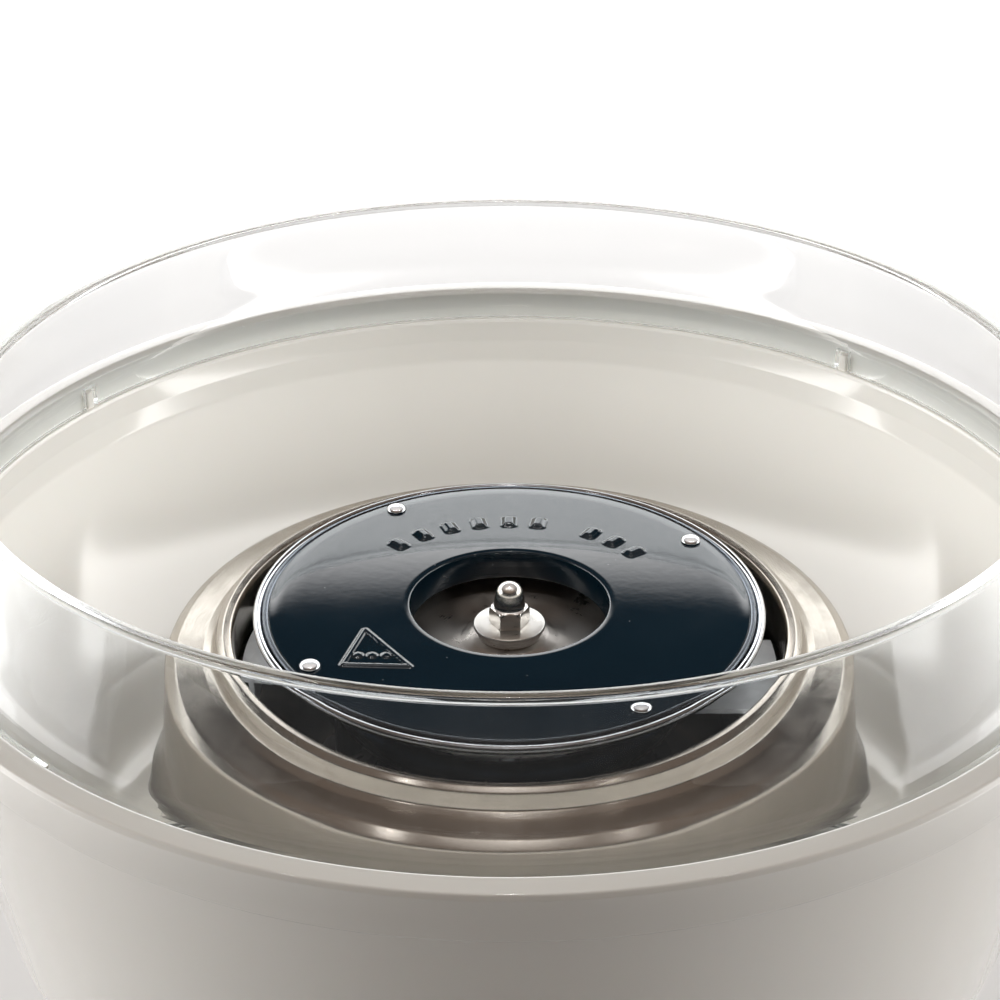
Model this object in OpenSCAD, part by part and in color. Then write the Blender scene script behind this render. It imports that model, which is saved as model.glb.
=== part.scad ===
// Countertop cotton candy machine: pedestal base with a motor, a heated spinning head inside a
// steel collar, a lift-off collecting bowl and a clear lift-off splash guard.
// Millimetres. +Z is up, z = 0 is the table, the head spins about the Z axis, the switch faces -Y
// and the power cord leaves the base on the +Y side.

/* [Heights] */
// Height of the rim of the spinning head above the table
head_z = 188; // [186:1:196]

/* [Spinning head] */
// Radius of the sugar pan over its rolled rim
pan_r = 58; // [57.5:0.1:59]
// Radius of the black cover plate
cover_r = 54.4; // [53.8:0.1:54.6]
// Radius of the filling hole in the cover plate
fill_r = 22.4; // [20:0.1:24]
// Radius of the circle of rivets
rivet_circle = 51; // [50.6:0.1:51.4]
// Angle of the first rivet, in degrees
rivet_angle = 32.6; // [0:0.1:90]
// Across-flats size of the domed nut
nut_af = 8; // [7.5:0.1:8.4]

/* [Steel collar] */
// Inner radius of the collar's rolled mouth
mouth_r = 62.6; // [62.2:0.1:63]
// Thickness of the collar sheet
sheet_t = 1.0; // [0.8:0.1:1.1]

/* [Bowl] */
// Outer radius of the bowl's rim
rim_r = 134.7; // [134:0.1:140]
// Height of the top of the bowl's rim above the deck
rim_h = 108.7; // [108.7:0.1:109.5]
// Radius of the hole in the bowl's floor
bowl_hole_r = 89.5; // [89.2:0.1:90]

/* [Splash guard] */
// Outer radius of the guard's top lip
lip_r = 118.6; // [117:0.1:121]
// Height of the guard above the ledge it stands on
guard_h = 37.2; // [34:0.1:44]
// Wall thickness of the guard
guard_t = 2.0; // [1.8:0.1:2.2]

/* [Base] */
// Outer radius of the base at its foot
base_r = 106.5; // [106:0.1:108]
// Wall thickness of the base housing
wall = 2.6; // [2.4:0.1:2.8]
// Radius of the circle of suction feet
foot_circle = 78; // [74:0.5:80]

/* [Switch] */
// Height of the switch centre above the table
switch_z = 42; // [41:0.5:43]
// Tilt of the switch face from vertical, in degrees
switch_tilt = 16.7; // [15:0.1:18]
// Half of the rocker's travel, in degrees
rocker_half = 10; // [8:0.5:10]

/* [Motor and heater] */
// Radius of the motor shaft
shaft_r = 2.5; // [2.5:0.01:2.5]
// Radius of the motor can
can_r = 21; // [20.5:0.1:21.5]
// Radius of the heating ring, to its tube's centre
heater_r = 38; // [37.5:0.1:38.5]
// Radius of the heater tube
heater_tube_r = 3.2; // [3:0.1:3.3]

/* [Power cord] */
// Radius of the power cord
cord_r = 3.2; // [3:0.1:3.3]

/* [Hidden] */

// clearance between parts that rest on each other
gap = 0.02;

// deck that the bowl and the collar stand on, bowl rim, and ledge under the splash guard
deck_z = 102;
rim_z = deck_z + rim_h;
ledge_z = rim_z - 7.7;

// azimuths, in degrees from +X, and circle radii of what repeats round the Z axis
foot_az = [45, 135, 225, 315];
bottom_screw_az = [20, 160, 200, 340];
bottom_screw_circle = 86;
bowl_key_az = [90, 210, 330];
guard_key_az = [46.7, 146.5, 226.7, 326.5];
bracket_screw_az = [30, 150, 270];
bracket_screw_circle = 68;
collar_screw_az = [for (azimuth = bracket_screw_az) azimuth + 60];
collar_screw_circle = 80;
standoff_az = [60, 180, 300];
standoff_circle = 26;
heater_leg_az = [165, 195];
rivet_az = [for (k = [0 : 3]) rivet_angle + 90 * k];

// bottom plate and rectifier board
plate_z = 9.4;
bottom_screw_z = 10.6;
board_z = 22;
board_t = 1.6;
board_top_z = board_z + board_t;

// motor bracket sheet: underside of its flange and top of its raised middle
bracket_t = 1.5;
bracket_foot_z = 103.6;
bracket_top_z = 129;

// heater: underside and top of the reflector's floor, top of its rim, centre of the tube
reflector_z = 152;
reflector_t = 0.8;
reflector_top_z = reflector_z + reflector_t;
reflector_rim_z = 161.2;
heater_z = 167.3;

// armature core, shaft bore in the rotor parts, and height of the hub's grub screw
core_z = 84;
core_len = 32;
armature_slot_az = [0 : 72 : 288];
armature_slot_circle = 11;
shaft_bore_r = shaft_r + 0.02;
grub_z = head_z - 16;

// switch: distance of its face in front of the axis, and rocker pivot behind that face
switch_face_y = -95.4;
pivot_y = 0.5;

// cord: height where it leaves the base, where it turns down, bend radius, line of its drop
cord_z = 24;
cord_y = 115;
cord_bend = 8;
cord_drop_y = cord_y + cord_bend;
// plug: azimuth at which it lies, body radius, half spacing of its round sides and of its pins
plug_az = 215;
plug_r = 6.6;
plug_side_y = 11;
pin_y = 9.5;

screw_steel = [0.6, 0.6, 0.62];
ivory = [0.9, 0.89, 0.86];
dark_grey = [0.16, 0.16, 0.17];

// ---- helpers ----
// every lathe outline is a list of [radius, z]
module lathe(outline) {
    rotate_extrude($fn = 120) polygon(outline);
}
module rod(radius, height) {
    cylinder(r = radius, h = height, $fn = 48);
}
module ring(outer_r, inner_r, height) {
    difference() {
        rod(outer_r, height);
        translate([0, 0, -1]) rod(inner_r, height + 2);
    }
}
// a box from x = 0 and z = 0, centred on y = 0
module block(size) {
    translate([0, -size[1] / 2, 0]) cube(size);
}
// children at an azimuth, with their x axis pointing outward
module polar(azimuth, radius, z = 0) {
    rotate([0, 0, azimuth]) translate([radius, 0, z]) children();
}
module around(azimuths, radius, z = 0) {
    for (azimuth = azimuths) polar(azimuth, radius, z) children();
}
// children built up +Z, laid along +X or +Y from a start point
module along_x(start) {
    translate(start) rotate([0, 90, 0]) children();
}
module along_y(start) {
    translate(start) rotate([-90, 0, 0]) children();
}
// a round wire through a list of points, with ball corners a little fatter than the wire
module wire(points, radius) {
    ball_turn = [31, 47, 13];
    for (i = [0 : len(points) - 2]) {
        step = points[i + 1] - points[i];
        length = norm(step);
        translate(points[i]) rotate([0, acos(step[2] / length), atan2(step[1], step[0])])
            cylinder(r = radius, h = length, $fn = 24);
        if (i > 0)
            translate(points[i]) rotate(ball_turn) sphere(r = radius * 1.14, $fn = 24);
    }
}
// a cross-head screw standing head-up with the underside of its head at z = 0
module screw(head_r, head_h, shank_r, length) {
    difference() {
        union() {
            rotate_extrude($fn = 48)
                polygon([[0, 0], [head_r, 0], [head_r, head_h * 0.45],
                         [head_r * 0.72, head_h * 0.88], [head_r * 0.3, head_h], [0, head_h]]);
            translate([0, 0, -length]) rod(shank_r, length + 0.1);
        }
        around([0, 90], -head_r * 0.55, head_h * 0.5)
            block([head_r * 1.1, head_r * 0.18, head_h]);
    }
}
// frame of the switch: origin in the middle of its face, -y out of the machine
module switch_frame() {
    translate([0, switch_face_y, switch_z]) rotate([-switch_tilt, 0, 0]) children();
}
// a cylinder along y between two y values
module switch_rod(radius, y_front, y_back) {
    translate([0, y_back, 0]) rotate([90, 0, 0])
        cylinder(r = radius, h = y_back - y_front, $fn = 64);
}
module at_board_screws(z) {
    for (x = [-18, 18]) translate([x, 30, z]) children();
}
module at_motor_screws(z) {
    for (x = [-12.5, 12.5]) translate([x, 0, z]) children();
}

// ---- base ----
module base_housing() {
    // up the outside, across the deck and down the inside
    outline = [
        [base_r - 1, 9], [base_r, 10.5], [base_r, 15], [105, 19], [101.5, 26], [97.2, 36],
        [93.6, 48], [91.2, 60], [90, 72], [90, 82], [91.2, 90], [93.8, 95.6], [96.6, 98.6],
        [98, 100.4], [98, deck_z], [62, deck_z], [62, deck_z - wall], [90.2, deck_z - wall],
        [88.6, 91.5], [87.4, 83.2], [87.4, 71.4], [88.7, 59.4], [91, 47.6], [94.6, 35.4],
        [98.9, 25.2], [102.4, 18], [base_r - wall, 14.2], [base_r - wall, 9]];
    color([0.86, 0.85, 0.81])
    difference() {
        union() {
            lathe(outline);
            // screw bosses
            around(bottom_screw_az, bottom_screw_circle, 12) rod(3.8, 58);
            around(bracket_screw_az, bracket_screw_circle, 86) rod(5, 14);
            around(collar_screw_az, collar_screw_circle, 92) rod(3.6, 8);
            // keys for the bowl
            around(bowl_key_az, 89.9, deck_z - 0.5) block([2.1, 6, 2.5]);
            // round bosses for the switch and for the cord
            switch_frame() switch_rod(17, -2.2, 5);
            along_y([0, 94, cord_z]) rod(10.5, 13);
        }
        switch_frame() switch_rod(10.1, -6, 12);
        along_y([0, 84, cord_z]) rod(6.05, 30);
        around(bottom_screw_az, bottom_screw_circle, 11) rod(1.3, 24);
        around(bracket_screw_az, bracket_screw_circle, 80) rod(1.95, 30);
        around(collar_screw_az, collar_screw_circle, 90) rod(1.52, 20);
    }
}

module bottom_plate() {
    // through cuts start below the plate and end above it
    cut_z = 8;
    cut_h = 6;
    color(dark_grey)
    difference() {
        union() {
            translate([0, 0, plate_z]) rod(base_r - wall - 0.4, 2.6);
            // posts under the rectifier board
            at_board_screws(11.9) rod(3, board_z - 11.9);
            translate([0, 0, plate_z]) ring(40, 37.5, 6);
        }
        around(foot_az, foot_circle, cut_z) rod(4.3, cut_h);
        around(bottom_screw_az, bottom_screw_circle, cut_z) rod(1.7, cut_h);
        around(bottom_screw_az, bottom_screw_circle, cut_z) rod(3.4, bottom_screw_z - cut_z);
        // two rings of radial slots
        around([0 : 20 : 340], 14, cut_z) block([18, 2.8, cut_h]);
        around([9 : 18 : 351], 44, cut_z) block([16, 3.2, cut_h]);
        at_board_screws(14) rod(1.0, 12);
    }
}

module suction_feet() {
    // cup, neck through the bottom plate, and retaining head
    outline = [
        [0, 5], [8, 3.6], [14.8, 0.5], [15.2, 0], [17, 0], [17.2, 0.8], [15.8, 3.2], [12.6, 6.2],
        [9.4, 8.4], [8, 9.35], [4.2, 9.35], [4.2, 12.05], [6.2, 12.3], [5.4, 15], [3, 16.6],
        [0, 17]];
    color([0.2, 0.2, 0.21])
    around(foot_az, foot_circle) lathe(outline);
}

module bottom_screws() {
    color([0.62, 0.62, 0.63])
    around(bottom_screw_az, bottom_screw_circle, bottom_screw_z)
        mirror([0, 0, 1]) screw(head_r = 2.9, head_h = 1.1, shank_r = 1.28, length = 18);
}

// ---- steel collar round the head ----
module heat_collar() {
    // z here is measured from the head's rim
    deck = deck_z - head_z;
    // outer face from the mouth down to the foot flange, then the inner face back up
    outline = [
        [mouth_r, -16], [mouth_r, -5.4], [mouth_r + 0.3, -4.6], [mouth_r + 1.2, -4.1],
        [65.1, -4.15], [66.2, -4.8], [66.8, -5.9], [67, -7.4], [67.6, -8.5], [69, -9.1],
        [72, -9.35], [75.6, -9.75], [77.4, -10.35], [78.4, -11.5], [78.8, -13.2],
        [79.1, -19.7], [80, -31.5], [80.6, -34.6], [82.2, -37.4], [83.9, -40.6],
        [84.8, -44.8], [85.2, -50], [86, deck + 6], [86.3, deck + 2.6], [87, deck + 1.4],
        [88.6, deck + sheet_t], [88.6, deck], [76, deck], [76, deck + sheet_t],
        [85.6 - sheet_t, deck + sheet_t], [85.8 - sheet_t, deck + 4],
        [85.9 - sheet_t, deck + 8], [85.2 - sheet_t, -50], [84.8 - sheet_t, -45.1],
        [84 - sheet_t, -41.1], [82.3 - sheet_t, -38], [80.6 - sheet_t, -34.9],
        [80 - sheet_t, -31.6], [79.1 - sheet_t, -19.8], [78.8 - sheet_t, -13.4],
        [77.7, -12.1], [76.9, -11.25], [75.4, -9.75 - sheet_t], [72, -9.35 - sheet_t],
        [68.7, -9.1 - sheet_t], [66.9, -9.3], [66.1, -7.9], [65.9, -6.2], [65.4, -5.5],
        [64.6, -5.1], [mouth_r + sheet_t, -5.3], [mouth_r + sheet_t, -16]];
    color([0.74, 0.73, 0.71])
    difference() {
        translate([0, 0, head_z]) lathe(outline);
        around(collar_screw_az, collar_screw_circle, deck_z - 1) rod(1.8, 4);
    }
}

module collar_screws() {
    color(screw_steel)
    around(collar_screw_az, collar_screw_circle, deck_z + sheet_t)
        screw(head_r = 2.9, head_h = 2, shank_r = 1.5, length = 9);
}

// ---- heater ----
module heater_reflector() {
    rim_under_z = reflector_rim_z - reflector_t;
    color([0.78, 0.78, 0.79])
    difference() {
        lathe([[16, reflector_z], [50.4, reflector_z], [58.9, rim_under_z], [61.2, rim_under_z],
               [61.2, reflector_rim_z], [58.6, reflector_rim_z], [50, reflector_top_z],
               [16, reflector_top_z]]);
        around(standoff_az, standoff_circle, 150) rod(1.6, 5);
        around(heater_leg_az, heater_r, 150) rod(5, 5);
    }
}

module heater_element() {
    leg_z = 140;
    color([0.42, 0.4, 0.39]) {
        // open ring, with a leg turned down at each end
        translate([0, 0, heater_z]) rotate([0, 0, heater_leg_az[1]])
            rotate_extrude(angle = 330, $fn = 96)
                translate([heater_r, 0]) circle(r = heater_tube_r, $fn = 32);
        around(heater_leg_az, heater_r, leg_z) rod(heater_tube_r, heater_z - leg_z);
        around(heater_leg_az, heater_r, heater_z) sphere(r = heater_tube_r, $fn = 48);
        // thin terminals under the legs
        around(heater_leg_az, heater_r, 134) rod(1.2, 7);
    }
}

module heater_insulators() {
    // bushes with a groove that holds the reflector's floor
    groove_low_z = reflector_z - 0.05;
    groove_high_z = reflector_top_z + 0.05;
    color([0.93, 0.92, 0.88])
    around(heater_leg_az, heater_r)
        lathe([[3.3, 148.4], [6.4, 148.4], [6.4, groove_low_z], [4.9, groove_low_z],
               [4.9, groove_high_z], [6.4, groove_high_z], [6.4, 155.4], [3.3, 155.4]]);
}

module heater_clips() {
    color([0.66, 0.66, 0.68])
    for (azimuth = [45, 120, 240, 315])
        difference() {
            polar(azimuth, heater_r - 4.6, reflector_top_z) block([9.2, 6, 13.4]);
            translate([0, 0, heater_z]) rotate_extrude($fn = 96)
                translate([heater_r, 0]) circle(r = heater_tube_r + 0.1, $fn = 32);
            polar(azimuth, heater_r - 3.8, reflector_top_z + 0.8) block([7.6, 8, 9.3]);
        }
}

// two curved tabs, each on an upright that stands on the reflector's rim
module heater_bracket() {
    color([0.7, 0.71, 0.72])
    for (azimuth = [0, 180]) rotate([0, 0, azimuth]) {
        intersection() {
            translate([0, 0, 171.8]) ring(61.3, 46, 1.2);
            translate([30, -21, 170]) cube([40, 28.4, 5]);
        }
        translate([58.4, -12, reflector_rim_z]) cube([1.2, 17, 10.8]);
    }
}

module thermal_cutout() {
    strap_z = 149.9;
    ear_y = [-10, 10];
    color([0.82, 0.8, 0.74])
    polar(270, 36) {
        translate([0, 0, 145.5]) rod(8, 6.45);
        // terminal blades
        for (y = [-4, 4]) translate([-0.4, y, 139]) block([0.8, 3, 7]);
        // mounting strap with an eyelet at each end
        for (y = ear_y) translate([0, y, strap_z]) ring(3, 1.6, 2.05);
        difference() {
            translate([-2, 0, strap_z]) block([4, 20, 1]);
            for (y = ear_y) translate([0, y, strap_z - 1]) rod(2.9, 3);
        }
    }
}

module reflector_standoffs() {
    color([0.8, 0.8, 0.8])
    around(standoff_az, standoff_circle, bracket_top_z + gap)
        difference() {
            cylinder(r = 4, h = reflector_z - bracket_top_z - 2 * gap, $fn = 6);
            for (z = [-1, 15]) translate([0, 0, z]) rod(1.5, 9);
        }
}

module standoff_screw() {
    screw(head_r = 2.9, head_h = 1.9, shank_r = 1.45, length = 7);
}
module standoff_screws() {
    color(screw_steel) {
        around(standoff_az, standoff_circle, reflector_top_z + gap) standoff_screw();
        around(standoff_az, standoff_circle, bracket_top_z - bracket_t - gap)
            mirror([0, 0, 1]) standoff_screw();
    }
}

// ---- motor ----
module motor_bracket() {
    flange_top_z = bracket_foot_z + bracket_t;
    top_under_z = bracket_top_z - bracket_t;
    // flange, raised wall and top, then back down the inside
    outline = [
        [74, bracket_foot_z], [74, flange_top_z], [38.6, flange_top_z], [37.6, 106.2],
        [36.2, 127.8], [35.2, bracket_top_z], [8.3, bracket_top_z], [8.3, top_under_z],
        [34.2, top_under_z], [34.7, 127], [36.3, bracket_foot_z]];
    color([0.68, 0.69, 0.7])
    difference() {
        lathe(outline);
        around(bracket_screw_az, bracket_screw_circle, 100) rod(4, 8);
        // clearance round the collar screw bosses
        around(collar_screw_az, collar_screw_circle, 100) rod(8.5, 8);
        around(standoff_az, standoff_circle, 125) rod(1.6, 6);
        at_motor_screws(125) rod(1.7, 6);
        // hole for the heater leads
        translate([-50, 0, 100]) rod(7, 8);
        // windows in the raised wall
        around([30 : 60 : 330], 30, 109) block([10, 14, 13]);
    }
}

module bracket_grommets() {
    groove_low_z = bracket_foot_z - 0.05;
    groove_high_z = bracket_foot_z + bracket_t + 0.05;
    color([0.13, 0.13, 0.14])
    around(bracket_screw_az, bracket_screw_circle)
        lathe([[2.1, deck_z], [6.4, deck_z], [6.6, 103.1], [6.4, groove_low_z],
               [3.9, groove_low_z], [3.9, groove_high_z], [6.4, groove_high_z], [6.6, 105.8],
               [6.2, 106.8], [2.1, 106.8]]);
}

module bracket_screws() {
    color(screw_steel)
    around(bracket_screw_az, bracket_screw_circle, 106.85)
        screw(head_r = 4.4, head_h = 2.4, shank_r = 1.9, length = 17);
}

module motor_can() {
    can_inner_r = can_r - 1.2;
    color([0.56, 0.57, 0.59])
    difference() {
        lathe([[can_r, 72], [can_r, 126.2], [can_r - 1.2, 127.4], [8.1, 127.4], [8, 131],
               [4.05, 131], [4.05, 126.2], [can_r - 1.6, 126.2], [can_inner_r, 125.4],
               [can_inner_r, 72]]);
        at_motor_screws(124) rod(1.5, 6);
        // holes in the side wall
        around([45 : 90 : 315], can_r - 3, 96) rotate([0, 90, 0]) rod(2.4, 6);
    }
}

module motor_end_cap() {
    color(ivory)
    difference() {
        union() {
            lathe([[can_r, 61], [can_r, 71.95], [can_r - 1.3, 71.95], [can_r - 1.3, 74],
                   [can_r - 3, 74], [can_r - 3, 62.4], [6.5, 62.4], [6.5, 65.2], [4.05, 65.2],
                   [4.05, 59.4], [7, 59.4], [7.4, 60], [can_r - 1, 60]]);
            // brush holders
            around([0, 180], 9, 61) block([9.5, 8, 12.6]);
        }
        around([0, 180], 5, 66.9) block([12.2, 4.3, 4.4]);
    }
}

module motor_magnets() {
    magnet_inner_r = 16.9;
    color([0.25, 0.25, 0.27])
    for (azimuth = [20, 200]) rotate([0, 0, azimuth])
        rotate_extrude(angle = 140, $fn = 96)
            translate([magnet_inner_r, 82]) square([can_r - 1.25 - magnet_inner_r, 36]);
}

module motor_brushes() {
    color([0.14, 0.14, 0.15])
    around([0, 180], 5.6, 67) block([8, 4.1, 4.2]);
}

module motor_bushes() {
    bush_bore_r = shaft_r + 0.04;
    color([0.72, 0.52, 0.28]) {
        translate([0, 0, 126.4]) ring(4, bush_bore_r, 4.6);
        translate([0, 0, 60]) ring(4, bush_bore_r, 5.2);
    }
}

module motor_screws() {
    color(screw_steel)
    at_motor_screws(bracket_top_z + gap)
        screw(head_r = 2.8, head_h = 1.9, shank_r = 1.45, length = 5);
}

// ---- electrical ----
module rectifier_board() {
    color([0.13, 0.36, 0.22])
    difference() {
        translate([-24, 16, board_z]) cube([48, 28, board_t]);
        at_board_screws(20) rod(1.3, 6);
    }
}

module rectifier_parts() {
    // corner, size
    boxes = [
        [[-9, 20, 0], [15, 5, 11]],
        [[-15, 39.5, 0], [6, 3.8, 7]],
        [[10.5, 33, 0], [5, 8, 7]],
        [[9, 17.5, 0], [12, 6.5, 8]],
        [[-22, 17.2, 0], [6, 9, 8]]];
    color([0.12, 0.12, 0.13])
    translate([0, 0, board_top_z + gap]) {
        for (box = boxes) translate(box[0]) cube(box[1]);
        translate([2, 36, 0]) rod(5, 11.5);
        translate([-9, 36, 0]) rod(4, 9);
    }
}

module board_screws() {
    color(screw_steel)
    at_board_screws(board_top_z + gap)
        screw(head_r = 2.4, head_h = 1.7, shank_r = 0.98, length = 8);
}

module switch_body() {
    color([0.1, 0.1, 0.11])
    switch_frame() difference() {
        union() {
            switch_rod(10, -2.4, 13);
            // bezel
            rotate([90, 0, 0]) rotate_extrude($fn = 64)
                polygon([[0, 2.2], [11.8, 2.2], [11.8, 2.9], [10.9, 3.8], [0, 3.8]]);
            // terminal blades
            for (z = [-5, 0, 5]) translate([-2.4, 12.9, z - 0.4]) cube([4.8, 7, 0.8]);
        }
        switch_rod(9.4, -6, 5);
        along_x([-10.5, pivot_y, 0]) rod(1.28, 21);
    }
}

module switch_rocker() {
    rocker_r = 8.2;
    tip_y = -3.6 - rocker_r * tan(rocker_half) - 0.1;
    tip_z = rocker_r + 0.6;
    // side view of the rocker, [y, z]
    outline = [
        [-3.6, 0], [tip_y, tip_z], [-1.6, tip_z], [-0.8, 4], [3.2, 2.2], [3.2, -2.2],
        [-0.8, -4], [-1.6, -tip_z], [tip_y, -tip_z]];
    color([0.62, 0.06, 0.07])
    switch_frame()
    translate([0, pivot_y, 0]) rotate([rocker_half, 0, 0]) translate([0, -pivot_y, 0])
    difference() {
        union() {
            intersection() {
                rotate([90, 0, 90]) translate([0, 0, -9]) linear_extrude(18) polygon(outline);
                switch_rod(rocker_r, -9, 6);
            }
            // pivot pin
            along_x([-9.9, pivot_y, 0]) rod(1.2, 19.8);
        }
        // on and off marks, sunk into the two faces
        translate([-0.45, -7, 3.2]) cube([0.9, 3.05, 3.2]);
        translate([0, -4.0, -4.6]) rotate([90, 0, 0]) ring(1.7, 1.0, 3);
    }
}

// an arc of cord about the z axis, from the +x side
module cord_arc(bend_r, angle, segments) {
    rotate_extrude(angle = angle, $fn = segments)
        translate([bend_r, 0]) circle(r = cord_r, $fn = 24);
}
module power_cord() {
    start_y = 88;
    // how far the cord runs on into the plug, in degrees
    plug_overlap = 1.4;
    low_bend_z = cord_r + cord_bend;
    color(ivory) {
        // out of the base, down, along the table, and round the base to the plug
        along_y([0, start_y, cord_z]) rod(cord_r, cord_y - start_y);
        translate([0, cord_y, cord_z - cord_bend]) rotate([0, -90, 0])
            cord_arc(cord_bend, 90, 64);
        translate([0, cord_drop_y, low_bend_z]) rod(cord_r, cord_z - cord_bend - low_bend_z);
        along_y([-cord_bend, cord_drop_y, low_bend_z]) cord_arc(cord_bend, 90, 64);
        translate([-cord_bend, 0, cord_r]) rotate([0, 0, 90])
            cord_arc(cord_drop_y, plug_az - 90 + plug_overlap, 128);
    }
}

module cord_strain_relief() {
    outline = [
        [0, 0], [7.6, 0], [7.6, 1.95], [5.95, 1.95], [5.95, 15.05], [8.2, 15.05],
        [8.2, 16.2], [7.4, 17], [5.6, 17.4], [4.6, 22.5], [0, 22.5]];
    color(dark_grey)
    difference() {
        along_y([0, 92, cord_z]) lathe(outline);
        along_y([0, 90, cord_z]) rod(cord_r + 0.05, 30);
    }
}

// frame of the plug: origin at the end of the cord on the table, +x toward the pins
module plug_place() {
    translate([-cord_bend, 0, 0]) polar(plug_az, cord_drop_y) rotate([0, 0, 90]) children();
}
module power_plug() {
    color(ivory)
    plug_place() difference() {
        union() {
            along_x([0.1, 0, plug_r])
                rotate_extrude($fn = 48) polygon([[0, 0], [5, 0], [6.2, 9], [0, 9]]);
            along_x([8, 0, plug_r]) rod(plug_r, 26);
            for (y = [-plug_side_y, plug_side_y]) along_x([22, y, plug_r]) rod(plug_r, 13);
            translate([14, 0, 0]) block([21, 2 * plug_side_y, 2 * plug_r]);
        }
        along_x([-1, 0, cord_r]) rod(cord_r + 0.05, 5);
        for (y = [-pin_y, pin_y]) along_x([30, y, plug_r]) rod(2.05, 8);
    }
}

module plug_pins() {
    pin_r = 2;
    pin_len = 22.4;
    color([0.75, 0.74, 0.7])
    plug_place() for (y = [-pin_y, pin_y]) along_x([30.5, y, plug_r]) {
        rod(pin_r, pin_len);
        translate([0, 0, pin_len]) sphere(r = pin_r, $fn = 32);
    }
}

module wiring() {
    lead_r = 1.1;
    // [x, y, z] points of the switch, cord, heater and motor leads, in that order in each list
    red_leads = [
        [[0, -74.7, 41.07], [0, -68, 41.07], [-14, -20, 34], [15, 4, 36], [15, 20.7, 36],
         [15, 20.7, 31.66]],
        [[-1.5, 87.9, 24], [-1.5, 78, 24], [-12, 56, 28], [-12, 43.35, 28]],
        [[-19, 18.8, 31.66], [-19, 18.8, 36], [-40, 4, 55], [-52, -2.4, 80], [-52, -2.4, 118],
         [-46, -9.84, 127], [-36.71, -9.84, 131], [-36.71, -9.84, 133.95]],
        [[13, 37, 30.66], [13, 37, 38], [12.4, 0, 52], [12.4, 0, 59.95]]];
    blue_leads = [
        [[0, -76.1, 36.3], [0, -70, 36.3], [20, -24, 26], [11.2, 2, 30], [11.2, 20.7, 35],
         [11.2, 20.7, 31.66]],
        [[1.5, 87.9, 24], [1.5, 78, 24], [13, 56, 28], [13, 41.05, 28]],
        [[-19, 21.7, 31.66], [-19, 21.7, 36], [-40, 14, 55], [-48, 2.6, 80], [-48, 2.6, 118],
         [-42, 9.84, 127], [-36.71, 9.84, 131], [-36.71, 9.84, 133.95]],
        [[-19, 24.6, 31.66], [-19, 24.6, 38], [-12.4, 0, 52], [-12.4, 0, 59.95]]];
    color([0.7, 0.12, 0.1]) for (lead = red_leads) wire(lead, lead_r);
    color([0.15, 0.2, 0.5]) for (lead = blue_leads) wire(lead, lead_r);
}

// ---- spinning head and rotor ----
module motor_shaft() {
    color([0.8, 0.8, 0.81])
    lathe([[0, 58], [shaft_r - 0.4, 58], [shaft_r, 58.6], [shaft_r, head_z + 0.6],
           [shaft_r - 0.5, head_z + 1], [0, head_z + 1]]);
}

module thrust_washers() {
    color([0.75, 0.75, 0.76]) {
        translate([0, 0, 131.05]) ring(4.6, shaft_bore_r, 0.8);
        translate([0, 0, 65.25]) ring(4.6, shaft_bore_r, 0.7);
    }
}

module armature_core() {
    cut_len = core_len + 2;
    color([0.45, 0.46, 0.48])
    translate([0, 0, core_z]) difference() {
        rod(16.3, core_len);
        translate([0, 0, -1]) rod(shaft_bore_r, cut_len);
        // winding slots, each open to the outside
        around(armature_slot_az, 14, -1) block([4, 2, cut_len]);
        around(armature_slot_az, armature_slot_circle, -1) rod(3.6, cut_len);
    }
}

module armature_windings() {
    color([0.72, 0.38, 0.2]) {
        // end turns above and below the core, joined by the coils in its slots
        translate([0, 0, core_z + core_len + 0.05])
            lathe([[5, 0], [14.4, 0], [14.8, 2], [13.4, 4.6], [9.4, 6], [5, 5]]);
        translate([0, 0, core_z - 6])
            lathe([[6, 5.95], [14.4, 5.95], [14.8, 4], [13.4, 1.4], [9.4, 0.2], [6, 0.6]]);
        around(armature_slot_az, armature_slot_circle, core_z - 0.1) rod(3.3, core_len + 0.2);
    }
}

module commutator() {
    color([0.76, 0.47, 0.26])
    translate([0, 0, 66]) difference() {
        rod(5.5, 11.9);
        translate([0, 0, -1]) rod(shaft_bore_r, 14);
        around([36 : 72 : 324], 4.4, -1) block([2, 0.5, 10.8]);
    }
}

module hub_seat() {
    color([0.76, 0.7, 0.5])
    difference() {
        translate([0, 0, head_z])
            lathe([[shaft_bore_r, -20], [5, -20], [5.6, -19.4], [5.6, -12.2], [8.6, -12],
                   [8.6, -9.82], [shaft_bore_r, -9.82]]);
        along_x([0, 0, grub_z]) rod(1.5, 8);
    }
}

module hub_grub_screw() {
    color([0.3, 0.3, 0.31])
    along_x([shaft_r + 0.03, 0, grub_z]) difference() {
        rod(1.46, 2.9);
        // hexagon socket
        translate([0, 0, 1.4]) cylinder(r = 0.85, h = 3, $fn = 6);
    }
}

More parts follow.
